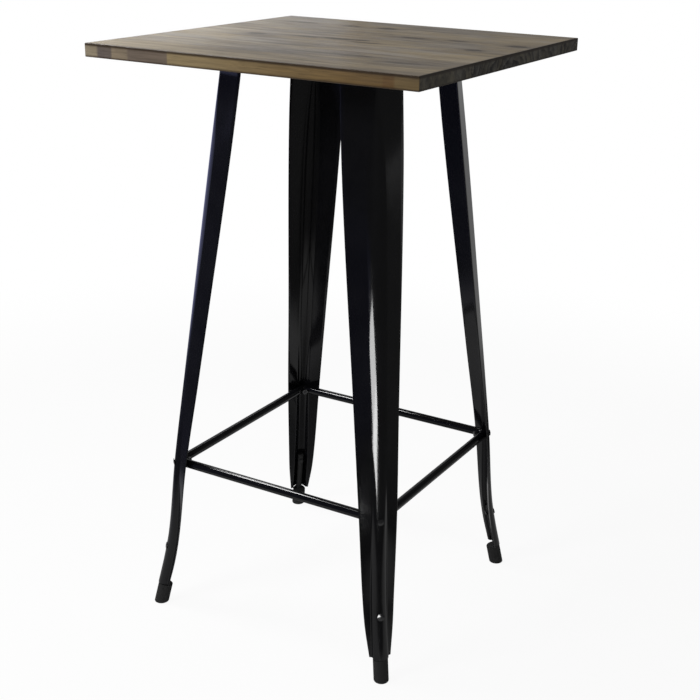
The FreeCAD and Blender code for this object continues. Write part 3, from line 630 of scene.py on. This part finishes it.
def late_wood(tree, at, grain):
    """Late wood of the year rings, which lie about a heart line beside each stave."""
    luck = put(tree, "ShaderNodeSeparateXYZ", {0: at.luck}).outputs
    middle = maths(tree, "MULTIPLY", maths(tree, "ADD", at.stave, 0.5), STAVE_WIDTH)
    aside = maths(tree, "MULTIPLY_ADD", luck["X"], 2 * HEART_ASIDE, -HEART_ASIDE)
    heart = maths(tree, "ADD", maths(tree, "SUBTRACT", middle, TOP_HALF), aside)
    from_heart = maths(tree, "SUBTRACT", at.y, heart)
    sunk = maths(tree, "MULTIPLY_ADD", luck["Y"], -HEART_SINK, TOP_HIGH.z - HEART_DEPTH)
    depth = maths(tree, "SUBTRACT", at.z, sunk)
    square = maths(tree, "MULTIPLY_ADD", from_heart, from_heart, maths(tree, "MULTIPLY", depth, depth))
    wander = maths(tree, "MULTIPLY_ADD", grain.twist, YEAR_TWIST, maths(tree, "SQRT", square))
    year = maths(tree, "FRACT", maths(tree, "DIVIDE", wander, YEAR_WIDTH))
    late = maths(tree, "POWER", year, YEAR_SHARP)
    return maths(tree, "MULTIPLY", late, span(tree, grain.cloud, *LATE_CLOUD))


def stain_tint(tree, at, grain):
    """Warm and cool patches of the stain, warmer on the stave at the front."""
    front = span(tree, at.y, *FRONT_STAVE)
    cool = maths(tree, "MULTIPLY_ADD", front, -FRONT_WARMTH, grain.cool)
    return blend(tree, span(tree, cool, *COOL_LIMITS), WARM_TINT, COOL_TINT)


def face_colour(tree, at, grain, look):
    """Tone of the face: the staves differ, and streaks run along them, most of all near the front."""
    drawn = span(tree, at.y, *DRAWN)
    stroke = maths(tree, "MULTIPLY", span(tree, grain.streak, *STROKE), drawn)
    tone = maths(tree, "MULTIPLY_ADD", at.lot, STAVE_TONE, span(tree, grain.patch, *PATCH))
    tone = maths(tree, "ADD", tone, stroke)
    tone = maths(tree, "ADD", tone, span(tree, grain.line, *LINE), clamp=True)
    face = blend(tree, tone, look.stain_dark, look.stain_light)
    bands = maths(tree, "FRACT", maths(tree, "MULTIPLY", grain.vein, VEIN_BANDS))
    vein = maths(tree, "MULTIPLY", maths(tree, "POWER", bands, VEIN_SHARP), VEIN_TONE)
    return blend(tree, vein, face, look.stain_dark)


def edge_colour(tree, at, grain, look):
    """Tone of the long edges: lengths jointed end to end, the same from either side, darker towards the +X
    end partly from painted shade.
    """
    along = maths(tree, "DIVIDE", maths(tree, "ADD", at.x, TOP_HALF), 2 * TOP_HALF)
    back = maths(tree, "GREATER_THAN", at.y, 0.0)
    turned = maths(tree, "ABSOLUTE", maths(tree, "SUBTRACT", back, along))
    ramp = put(tree, "ShaderNodeValToRGB", {"Fac": turned})
    stops = ramp.color_ramp.elements
    stops[0].position = 0.0
    stops[0].color = colour(EDGE_LENGTHS_AND_SHADE[0][1])
    stops[1].position = 1.0
    stops[1].color = colour(EDGE_LENGTHS_AND_SHADE[-1][2])
    for before, after in zip(EDGE_LENGTHS_AND_SHADE, EDGE_LENGTHS_AND_SHADE[1:]):
        stops.new(after[0] - JOINT_WIDTH).color = colour(before[2])
        stops.new(after[0]).color = colour(after[1])
    return blend(tree, span(tree, grain.streak, *EDGE_STREAK), ramp.outputs["Color"], look.stain_dark)


def end_colour(tree, at, grain, look):
    """Tone of the sawn ends, which drink the stain."""
    late = maths(tree, "MULTIPLY", late_wood(tree, at, grain), END_LATE)
    ring = maths(tree, "ADD", span(tree, grain.blotch, *END_BLOTCH), late)
    ring = maths(tree, "SUBTRACT", ring, END_STAVE / 2)
    ring = maths(tree, "MULTIPLY_ADD", at.lot, END_STAVE, ring, clamp=True)
    return blend(tree, ring, look.end_light, look.end_dark)


def mark_shares(tree, at, grain):
    """Shares of the cracks and knots, and of the halos round them."""
    group = shared_group("Long mark", build_mark)
    wobble = maths(tree, "SUBTRACT", grain.streak, 0.5)
    ragged = maths(tree, "MULTIPLY_ADD", grain.torn_edge, 2 * MARK_TEAR, -MARK_TEAR)
    cores = 0.0
    halos = 0.0
    for along, across, length, width, strength in TOP_MARKS:
        values = {
            "Point": at.point, "Wobble": wobble, "Ragged": ragged, "Along": along, "Across": across,
            "Length": length, "Width": width,
        }
        mark = place_group(tree, group, values)
        cores = maths(tree, "MAXIMUM", cores, maths(tree, "MULTIPLY", mark["Core"], strength))
        halos = maths(tree, "MAXIMUM", halos, maths(tree, "MULTIPLY", mark["Halo"], strength))
    return cores, halos


def glue_share(tree, at):
    """Share of the dark glue line between two staves."""
    to_joint = maths(tree, "MINIMUM", at.within, maths(tree, "SUBTRACT", 1.0, at.within))
    return span(tree, maths(tree, "MULTIPLY", to_joint, STAVE_WIDTH), *GLUE_LINE)


def dark_arris_share(tree, at):
    """Share of the darker band along the upper and lower eased arrises."""
    outward = maths(tree, "MAXIMUM", maths(tree, "ABSOLUTE", at.x), maths(tree, "ABSOLUTE", at.y))
    inset = maths(tree, "SUBTRACT", TOP_HALF, outward)
    below = maths(tree, "SUBTRACT", TOP_HIGH.z, at.z)
    above = maths(tree, "SUBTRACT", at.z, TOP_LOW.z)
    upper = span(tree, maths(tree, "MULTIPLY_ADD", inset, ARRIS_LEAN, below), *UPPER_ARRIS)
    lower = span(tree, maths(tree, "ADD", inset, above), *LOWER_ARRIS)
    return maths(tree, "MULTIPLY", maths(tree, "MAXIMUM", upper, lower), ARRIS_TONE)


def lacquer_coat(tree, shader, at, grain, pore, cores):
    """Satin lacquer, duller over the pores and on the sawn ends, over the relief of the grain."""
    usual = bpy.context.scene.table_finishes.lacquer
    satin = maths(tree, "MULTIPLY_ADD", grain.cloud, 2 * LACQUER_SPREAD, usual - LACQUER_SPREAD)
    satin = maths(tree, "MULTIPLY_ADD", pore, PORE_DULL, satin)
    satin = maths(tree, "MULTIPLY_ADD", at.on_end, END_DULL, satin, clamp=True)
    tree.links.new(satin, shader["Roughness"])
    relief = maths(tree, "MULTIPLY_ADD", grain.streak, STREAK_RELIEF, grain.fibre)
    relief = maths(tree, "MULTIPLY_ADD", pore, PORE_RELIEF, relief)
    relief = maths(tree, "MULTIPLY_ADD", cores, MARK_RELIEF, relief)
    values = {"Strength": RELIEF_STRENGTH, "Distance": RELIEF_DEPTH, "Height": relief}
    tree.links.new(put(tree, "ShaderNodeBump", values).outputs[0], shader["Normal"])
    shader["IOR"].default_value = LACQUER_IOR


def stained_timber(name):
    """Stained staves under satin lacquer, with sawn ends, jointed lengths, cracks and glue lines."""
    look = bpy.context.scene.table_finishes
    material, tree, shader, point = new_material(name)
    at = timber_place(tree, point)
    grain = grain_values(tree, at)
    tint = stain_tint(tree, at, grain)
    face = blend(tree, 1.0, face_colour(tree, at, grain, look), tint, mode="MULTIPLY")
    end = blend(tree, 1.0, end_colour(tree, at, grain, look), tint, mode="MULTIPLY")
    wood = blend(tree, at.on_edge, face, edge_colour(tree, at, grain, look))
    wood = blend(tree, at.on_end, wood, end)
    fine = span(tree, grain.fibre, *FIBRE_TONE, smooth=False)
    wood = put(tree, "ShaderNodeVectorMath", {0: wood, "Scale": fine}, operation="SCALE").outputs[0]
    pore = span(tree, grain.pores, *PORE_LIMITS)
    wood = blend(tree, pore, wood, look.crack)
    cores, halos = mark_shares(tree, at, grain)
    soft = maths(tree, "MULTIPLY", at.upward, HALO_TONE)
    wood = blend(tree, maths(tree, "MULTIPLY", halos, soft), wood, look.stain_dark)
    wood = blend(tree, maths(tree, "MULTIPLY", cores, at.upward), wood, look.crack)
    wood = blend(tree, maths(tree, "MULTIPLY", glue_share(tree, at), at.upward), wood, look.crack)
    wood = blend(tree, dark_arris_share(tree, at), wood, look.crack)
    tree.links.new(wood, shader["Base Color"])
    lacquer_coat(tree, shader, at, grain, pore, cores)
    return material


# Pressed legs

# Steps round a section, and rows down a leg
ARC_STEPS = 10
FOLD_STEPS = 6
FLANK_STEPS = 6
EDGE_STEPS = 4
UPPER_ROWS = 36
LOWER_ROWS = 12
BEND_ROWS = 6
# Places of the shoulder and the knee among a leg's stations
SHOULDER_AT = 1
KNEE_AT = 2
# Faces that meet at more than this stay sharp
SHARP_ANGLE = math.radians(50)


def half_section(sizes, nose, half_width, radius, folds):
    """Outer points and outward angles of half a leg section, from the nose to the flank's edge."""
    rib, flank = folds
    points = []
    for step in range(ARC_STEPS + 1):
        angle = rib * step / ARC_STEPS
        points.append((Vector((nose - radius * (1 - math.cos(angle)), radius * math.sin(angle))), angle))
    rib_end = points[-1][0]
    web_way = Vector((-math.sin(rib), math.cos(rib)))
    flank_way = Vector((-math.sin(flank), math.cos(flank)))
    crease = rib_end + web_way * sizes.web
    before = crease - web_way * sizes.fold
    after = crease + flank_way * sizes.fold
    for step in range(FOLD_STEPS + 1):
        share = step / FOLD_STEPS
        first = before.lerp(crease, share)
        second = crease.lerp(after, share)
        points.append((first.lerp(second, share), rib + (flank - rib) * share))
    tip = crease + flank_way * ((half_width - crease.y) / flank_way.y)
    tip -= flank_way * (sizes.sheet / 2)
    for step in range(1, FLANK_STEPS + 1):
        points.append((after.lerp(tip, step / FLANK_STEPS), flank))
    return points


def closed_section(sizes, station, radius, folds):
    """Closed outline of the sheet: outer skin, rounded edge, inner skin, rounded edge."""
    half = half_section(sizes, station[1], station[2], radius, folds)
    outer = []
    inner = []
    for place, angle in half:
        outer.append(place)
        inner.append(place - Vector((math.cos(angle), math.sin(angle))) * sizes.sheet)
    flank = folds[1]
    middle = (outer[-1] + inner[-1]) / 2
    cap = []
    for step in range(1, EDGE_STEPS):
        turn = flank + math.pi * step / EDGE_STEPS
        cap.append(middle + Vector((math.cos(turn), math.sin(turn))) * (sizes.sheet / 2))
    side = outer + cap + inner[::-1]
    mirrored = [Vector((place.x, -place.y)) for place in side[1:-1]]
    return side + mirrored[::-1]


def hermite(first, second, first_slope, second_slope, gap, share):
    """Value between two stations with given slopes."""
    a = 2 * share ** 3 - 3 * share ** 2 + 1
    b = share ** 3 - 2 * share ** 2 + share
    c = -2 * share ** 3 + 3 * share ** 2
    d = share ** 3 - share ** 2
    return first * a + first_slope * (b * gap) + second * c + second_slope * (d * gap)


def crown_rows(sizes, slope, crown_top):
    """Heights and outlines of the upright crown and of the short bend below it."""
    crown = sizes.crown
    bend = sizes.crown_bend
    rows = [(crown_top, closed_section(sizes, crown, sizes.crown_round, sizes.crown_fold))]
    for step in range(BEND_ROWS + 1):
        drop = bend * step / BEND_ROWS
        level = crown[0] + bend / 2 - drop
        nose = crown[1] + slope * drop * drop / (2 * bend)
        station = (level, nose, crown[2])
        rows.append((level, closed_section(sizes, station, sizes.crown_round, sizes.crown_fold)))
    return rows


def leg_stations(sizes, slope):
    """Heights and outlines of the stations below the crown's bend."""
    crown = sizes.crown
    shoulder = (sizes.shoulder, crown[1] + slope * (crown[0] - sizes.shoulder), crown[2])
    stations = [
        (shoulder, sizes.shoulder_round, sizes.shoulder_fold),
        (sizes.knee, sizes.knee_round, sizes.knee_fold),
        (sizes.ring, sizes.rib_round, sizes.ring_fold),
        (sizes.ankle, sizes.rib_round, sizes.ankle_fold),
        (sizes.heel, sizes.rib_round, sizes.heel_fold),
        (sizes.toe, sizes.rib_round, sizes.toe_fold),
    ]
    return [(place[0], closed_section(sizes, place, radius, folds)) for place, radius, folds in stations]


def leg_rows(sizes, crown_top):
    """Heights and outlines of a leg's sections, from its top to its toe."""
    crown, ring = sizes.crown, sizes.ring
    slope = (ring[1] - crown[1]) / (crown[0] - ring[0])
    rows = crown_rows(sizes, slope, crown_top)
    stations = [rows.pop()] + leg_stations(sizes, slope)
    gaps = [upper[0] - lower[0] for upper, lower in zip(stations, stations[1:])]
    runs = []
    for upper, lower, gap in zip(stations, stations[1:], gaps):
        runs.append([(b - a) / gap for a, b in zip(upper[1], lower[1])])
    slopes = [runs[0]]
    for before, after in zip(runs, runs[1:]):
        slopes.append([(a + b) / 2 for a, b in zip(before, after)])
    slopes.append(runs[-1])
    # The leg comes straight down to the knee
    slopes[KNEE_AT] = runs[SHOULDER_AT]
    for index, gap in enumerate(gaps):
        level, first = stations[index]
        second = stations[index + 1][1]
        steps = UPPER_ROWS if index == SHOULDER_AT else LOWER_ROWS
        for step in range(steps):
            share = step / steps
            outline = [
                hermite(a, b, slopes[index][i], slopes[index + 1][i], gap, share)
                for i, (a, b) in enumerate(zip(first, second))
            ]
            rows.append((level - gap * share, outline))
    rows.append(stations[-1])
    return rows


def cap_end(mesh, loop):
    """Close one end of a leg's sheet, between its outer and inner skins."""
    count = len(loop)
    half = ARC_STEPS + 1 + FOLD_STEPS + 1 + FLANK_STEPS
    last = 2 * half + EDGE_STEPS - 2
    faces = [[i, i + 1, last - i - 1, last - i] for i in range(half - 1)]
    faces.append(list(range(half - 1, half + EDGE_STEPS)))
    for mirror in (False, True):
        for corners in faces:
            if mirror:
                corners = [k if k in (0, last) else count - k for k in corners]
            mesh.faces.new([loop[k] for k in corners])


def make_leg(corner, angle, rows):
    """One pressed leg, in place of its solid."""
    mesh = bmesh.new()
    turn = Matrix.Rotation(math.radians(angle), 3, "Z")
    loops = []
    for level, outline in rows:
        loops.append([mesh.verts.new(turn @ Vector((place.x, place.y, level))) for place in outline])
    count = len(loops[0])
    for upper, lower in zip(loops, loops[1:]):
        for i in range(count):
            j = (i + 1) % count
            mesh.faces.new((upper[i], upper[j], lower[j], lower[i]))
    cap_end(mesh, loops[0])
    cap_end(mesh, loops[-1])
    bmesh.ops.recalc_face_normals(mesh, faces=mesh.faces)
    data = bpy.data.meshes.new(f"pressed_leg_{corner}")
    mesh.to_mesh(data)
    mesh.free()
    data.shade_smooth()
    data.set_sharp_from_angle(angle=SHARP_ANGLE)
    leg = bpy.data.objects.new(f"pressed_leg_{corner}", data)
    bpy.context.scene.collection.objects.link(leg)
    return leg


# Operators

def dress(names, material):
    """Give CAD nodes a material."""
    for name in names:
        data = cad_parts[name].data
        data.materials.clear()
        data.materials.append(material)


class PUBTABLE_OT_top(bpy.types.Operator):
    """Dress the staves of the top in stained timber"""

    bl_idname = "pubtable.top"
    bl_label = "Timber top"

    def execute(self, context):
        dress(STAVES, shared_material("stained_timber", stained_timber))
        return {"FINISHED"}


class PUBTABLE_OT_legs(bpy.types.Operator):
    """Press the legs with rounded folds and edges, and paint them"""

    bl_idname = "pubtable.legs"
    bl_label = "Pressed legs"

    def execute(self, context):
        rows = leg_rows(context.scene.table_legs, TOP_LOW.z)
        for corner, angle in CORNERS.items():
            leg = make_leg(corner, angle, rows)
            leg.data.materials.append(shared_material("black_paint", black_paint))
            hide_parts(f"leg_{corner}")
            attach(leg, "root")
        return {"FINISHED"}


class PUBTABLE_OT_ring(bpy.types.Operator):
    """Paint the foot ring"""

    bl_idname = "pubtable.ring"
    bl_label = "Foot ring"

    def execute(self, context):
        dress(["foot_ring"], shared_material("black_paint", black_paint))
        return {"FINISHED"}


class PUBTABLE_OT_plugs(bpy.types.Operator):
    """Dress the foot plugs in rubber"""

    bl_idname = "pubtable.plugs"
    bl_label = "Foot plugs"

    def execute(self, context):
        dress([f"foot_plug_{corner}" for corner in CORNERS], shared_material("foot_rubber", foot_rubber))
        return {"FINISHED"}


class PUBTABLE_OT_under_frame(bpy.types.Operator):
    """Paint the leg plates and the rails under the top"""

    bl_idname = "pubtable.under_frame"
    bl_label = "Under-frame"

    def execute(self, context):
        plates = [f"leg_plate_{corner}" for corner in CORNERS]
        rails = [f"apron_rail_{side}" for side in ("right", "back", "left", "front")]
        dress(plates + rails, shared_material("black_paint", black_paint))
        return {"FINISHED"}


class PUBTABLE_OT_fasteners(bpy.types.Operator):
    """Finish the bolts, nuts and screws"""

    bl_idname = "pubtable.fasteners"
    bl_label = "Fasteners"

    def execute(self, context):
        black = ["ring_bolts", "foot_bolts", "apron_bolts", "foot_nuts"]
        dress(black, shared_material("blackened_steel", blackened_steel))
        plated = ["ring_nuts", "apron_nuts", "plate_screws", "rail_screws"]
        dress(plated, shared_material("zinc_plate", zinc_plate))
        return {"FINISHED"}


# Stage

def heading(azimuth, elevation):
    """Direction from the table: azimuth from the front towards the right, elevation above the horizon."""
    flat = math.cos(elevation)
    return Vector((math.sin(azimuth) * flat, -math.cos(azimuth) * flat, math.sin(elevation)))


# Soft lamps: place, point lit, width, height, level given to a white face turned to it
LAMPS = {
    "left_softbox": ((-1.20, -0.35, 2.50), (0.0, 0.0, 0.95), 0.5, 0.5, 0.60),
    "front_softbox": ((-1.00, -1.90, 1.70), (0.0, -0.30, 0.90), 0.7, 0.5, 0.70),
    "left_strip": ((-0.70, 0.50, 1.09), (-0.30, 0.50, 1.09), 1.4, 0.12, 1.00),
}

# Cards seen in gloss only: place, point faced, width, height, tilt in degrees, brightness beside white
CARDS = {
    "upper_card": ((0.5595, -0.9407, 0.4564), (0.3419, -0.3648, -0.3316), 0.429, 0.399, -50.9, 15.0),
    "lower_card": ((0.7536, -1.2022, 0.2118), (0.5360, -0.6263, -0.5762), 0.300, 0.762, -50.9, 22.0),
    "ring_card": ((-0.75, -0.10, 1.34), (-0.19, -0.20, 0.29), 0.20, 0.60, 90.0, 19.0),
}

# Lamps that light some pieces only
CARD_LIT = ("pressed_leg_front_right", "foot_bolts")
LIT_ONLY = {"upper_card": CARD_LIT, "lower_card": CARD_LIT, "ring_card": ("foot_ring",)}

# Lamps that don't show in gloss
NOT_IN_GLOSS = ("front_softbox",)

WHITE = (1.0, 1.0, 1.0)

# The studio in gloss: brighter behind and on the right, and cool on the left
BEHIND_LEAN = -0.5
BEHIND_GLOW = (0.6, 1.2, 0.05, 0.35)
RIGHT_GLOW = (0.25, 0.9, 0.0, 0.06)
COOL_LEAN = 0.6
COOL_SIDE = (-0.45, -1.0)
COOL_LIGHT = (0.95, 1.0, 1.8)

# The floor in gloss close to the table: how far it glows, where it is dimmer ahead, and under the table
NEAR_GLOW = (1.08, 0.72, 0.0, 0.42)
AHEAD_GLOW = (1.25, 0.85, 0.1, 1.0)
UNDER_GLOW = (0.15, 0.50, 0.35, 1.0)

# The floor: clouds, lowest and highest tone, where its shade fades out, gap under the feet, sides
FLOOR_CLOUD = 3.0
FLOOR_TONE = (0.86, 0.90)
SHADE_FADE = (2.2, 1.1)
FLOOR_GAP = 0.0005
FLOOR_SIDES = 96

# How far the camera sees, in radii of the floor
CAMERA_REACH = 4


def add_lamp(name, place, lit, width, tall, level):
    """Soft lamp that gives a white face turned to it a share of plain brightness."""
    lamp = bpy.data.lights.new(name, "AREA")
    lamp.shape = "RECTANGLE"
    lamp.size = width
    lamp.size_y = tall
    way = Vector(lit) - Vector(place)
    lamp.energy = level * math.pi ** 2 * way.length_squared
    thing = bpy.data.objects.new(name, lamp)
    thing.location = place
    thing.rotation_mode = "QUATERNION"
    thing.rotation_quaternion = way.to_track_quat("-Z", "Y")
    thing.visible_camera = False
    bpy.context.scene.collection.objects.link(thing)
    return thing


def add_card(name, place, faced, width, tall, tilt, bright):
    """Bright card that shows in gloss and lights nothing else."""
    card = add_lamp(name, place, faced, width, tall, 0.0)
    card.data.energy = bright * math.pi * width * tall
    turn = Matrix.Rotation(math.radians(tilt), 3, "Z").to_quaternion()
    card.rotation_quaternion = card.rotation_quaternion @ turn
    card.visible_diffuse = False


def light_only(lamp, names):
    """Let a lamp light the named pieces and nothing else."""
    lit = bpy.data.collections.new(f"lit_by_{lamp.name}")
    for name in names:
        lit.objects.link(bpy.data.objects[name])
    lamp.light_linking.receiver_collection = lit


def light_path_shares(tree):
    """Whether a ray is the camera's, and whether it is seen in a mirror or through glass."""
    path = put(tree, "ShaderNodeLightPath").outputs
    seen = path["Is Camera Ray"]
    mirrored = maths(tree, "MAXIMUM", path["Is Glossy Ray"], path["Is Transmission Ray"])
    return seen, mirrored


def studio_glow(tree, x, y):
    """How bright the studio is in gloss, and its tint."""
    behind = span(tree, maths(tree, "MULTIPLY_ADD", x, BEHIND_LEAN, y), *BEHIND_GLOW)
    level = maths(tree, "ADD", behind, span(tree, x, *RIGHT_GLOW))
    cool = span(tree, maths(tree, "MULTIPLY_ADD", y, COOL_LEAN, x), *COOL_SIDE)
    return level, blend(tree, cool, WHITE, COOL_LIGHT)


def make_world(stage):
    """White background, dimmer in gloss, and a soft light from all round."""
    world = bpy.data.worlds.new("studio")
    tree = empty_tree(world)
    seen, mirrored = light_path_shares(tree)
    way = put(tree, "ShaderNodeTexCoord").outputs["Generated"]
    parts = put(tree, "ShaderNodeSeparateXYZ", {0: way}).outputs
    glow, tint = studio_glow(tree, parts["X"], parts["Y"])
    extra = maths(tree, "SUBTRACT", glow, stage.ambient)
    level = maths(tree, "MULTIPLY_ADD", mirrored, extra, stage.ambient)
    level = maths(tree, "MULTIPLY_ADD", seen, maths(tree, "SUBTRACT", 1.0, level), level)
    shade = blend(tree, mirrored, WHITE, tint)
    shade = blend(tree, seen, shade, WHITE)
    sky = put(tree, "ShaderNodeBackground", {"Color": shade, "Strength": level})
    tree.links.new(sky.outputs[0], put(tree, "ShaderNodeOutputWorld").inputs["Surface"])
    bpy.context.scene.world = world


def floor_glow(tree, parts, reach, sheet):
    """How bright the floor is in gloss, and its tint: the studio's glow, and its own close to the table."""
    x = maths(tree, "DIVIDE", parts["X"], sheet)
    y = maths(tree, "DIVIDE", parts["Y"], sheet)
    glow, tint = studio_glow(tree, x, y)
    ahead = maths(tree, "SUBTRACT", parts["X"], parts["Y"])
    near = maths(tree, "MULTIPLY", span(tree, reach, *NEAR_GLOW), span(tree, ahead, *AHEAD_GLOW))
    near = maths(tree, "MULTIPLY", near, span(tree, reach, *UNDER_GLOW))
    return maths(tree, "MAXIMUM", glow, near), tint


def floor_material(stage):
    """Pale floor: white to the camera with a share of the real shade, a glow in gloss, clear from below."""
    material = bpy.data.materials.new("pale_floor")
    tree = empty_tree(material)
    seen, mirrored = light_path_shares(tree)
    point = put(tree, "ShaderNodeTexCoord").outputs["Object"]
    parts = put(tree, "ShaderNodeSeparateXYZ", {0: point}).outputs
    reach = put(tree, "ShaderNodeVectorMath", {0: point}, operation="LENGTH").outputs["Value"]
    glow, tint = floor_glow(tree, parts, reach, stage.sheet)
    mottle = shared_group("Cloudy value", build_mottle)
    clouds = {"Point": point, "Scale": FLOOR_CLOUD, "Low": FLOOR_TONE[0], "High": FLOOR_TONE[1]}
    tone = place_group(tree, mottle, clouds)["Value"]
    matt = put(tree, "ShaderNodeBsdfDiffuse", {"Color": tone})
    shade = blend(tree, seen, tint, WHITE)
    level = maths(tree, "MULTIPLY_ADD", mirrored, glow, seen)
    white = put(tree, "ShaderNodeEmission", {"Color": shade, "Strength": level})
    kept = span(tree, reach, *SHADE_FADE, 0.0, stage.shadow)
    share = maths(tree, "MULTIPLY_ADD", seen, maths(tree, "SUBTRACT", 1.0, kept), mirrored)
    mix = put(tree, "ShaderNodeMixShader", {0: share, 1: matt.outputs[0], 2: white.outputs[0]})
    below = put(tree, "ShaderNodeNewGeometry").outputs["Backfacing"]
    clear = put(tree, "ShaderNodeBsdfTransparent")
    sided = put(tree, "ShaderNodeMixShader", {0: below, 1: mix.outputs[0], 2: clear.outputs[0]})
    tree.links.new(sided.outputs[0], put(tree, "ShaderNodeOutputMaterial").inputs["Surface"])
    return material


def make_floor(stage):
    """Wide round floor under the feet."""
    mesh = bmesh.new()
    bmesh.ops.create_circle(mesh, cap_ends=True, segments=FLOOR_SIDES, radius=stage.floor)
    data = bpy.data.meshes.new("floor")
    mesh.to_mesh(data)
    mesh.free()
    floor = bpy.data.objects.new("floor", data)
    floor.location.z = CAD_BOX[0].z - FLOOR_GAP
    data.materials.append(floor_material(stage))
    bpy.context.scene.collection.objects.link(floor)


def make_camera(stage):
    """Camera at the photograph's viewing angle."""
    back = heading(stage.azimuth, stage.elevation)
    level = Vector((math.cos(stage.azimuth), math.sin(stage.azimuth), 0.0))
    upright = back.cross(level)
    right = level * math.cos(stage.roll) + upright * math.sin(stage.roll)
    up = back.cross(right)
    data = bpy.data.cameras.new("camera")
    data.lens = stage.lens
    data.clip_end = CAMERA_REACH * stage.floor
    camera = bpy.data.objects.new("camera", data)
    eye = level * stage.aside + Vector((0.0, 0.0, stage.target)) + back * stage.distance
    turn = Matrix((right, up, back)).transposed().to_4x4()
    camera.matrix_world = Matrix.Translation(eye) @ turn
    bpy.context.scene.collection.objects.link(camera)
    bpy.context.scene.camera = camera


class PUBTABLE_OT_stage(bpy.types.Operator):
    """Set the pale floor, the soft lamps and the camera"""

    bl_idname = "pubtable.stage"
    bl_label = "Stage"

    def execute(self, context):
        stage = context.scene.table_stage
        make_world(stage)
        make_floor(stage)
        for name, values in LAMPS.items():
            add_lamp(name, *values)
        for name, values in CARDS.items():
            add_card(name, *values)
        for name, pieces in LIT_ONLY.items():
            light_only(bpy.data.objects[name], pieces)
        for name in NOT_IN_GLOSS:
            bpy.data.objects[name].visible_glossy = False
        make_camera(stage)
        context.scene.view_settings.view_transform = "Standard"
        return {"FINISHED"}


OPERATORS = [
    PUBTABLE_OT_top,
    PUBTABLE_OT_legs,
    PUBTABLE_OT_ring,
    PUBTABLE_OT_plugs,
    PUBTABLE_OT_under_frame,
    PUBTABLE_OT_fasteners,
    PUBTABLE_OT_stage,
]


class PUBTABLE_PT_panel(bpy.types.Panel):
    """Sidebar panel with the table's steps and settings"""

    bl_idname = "PUBTABLE_PT_panel"
    bl_label = "Pub table"
    bl_space_type = "VIEW_3D"
    bl_region_type = "UI"
    bl_category = "Pub table"

    def draw(self, context):
        layout = self.layout
        for operator in OPERATORS:
            layout.operator(operator.bl_idname)
        for settings in (context.scene.table_legs, context.scene.table_finishes, context.scene.table_stage):
            box = layout.box()
            for name in settings.bl_rna.properties.keys():
                if name not in ("rna_type", "name"):
                    box.prop(settings, name)


GROUPS = {"table_legs": LegSizes, "table_finishes": Finishes, "table_stage": StageSettings}


def register():
    for group in GROUPS.values():
        bpy.utils.register_class(group)
    for name, group in GROUPS.items():
        setattr(bpy.types.Scene, name, PointerProperty(type=group))
    for operator in OPERATORS:
        bpy.utils.register_class(operator)
    bpy.utils.register_class(PUBTABLE_PT_panel)


def unregister():
    bpy.utils.unregister_class(PUBTABLE_PT_panel)
    for operator in reversed(OPERATORS):
        bpy.utils.unregister_class(operator)
    for name, group in reversed(list(GROUPS.items())):
        delattr(bpy.types.Scene, name)
        bpy.utils.unregister_class(group)


def main():
    register()
    bpy.ops.pubtable.top()
    bpy.ops.pubtable.legs()
    bpy.ops.pubtable.ring()
    bpy.ops.pubtable.plugs()
    bpy.ops.pubtable.under_frame()
    bpy.ops.pubtable.fasteners()
    bpy.ops.pubtable.stage()


if __name__ == "__main__":
    main()
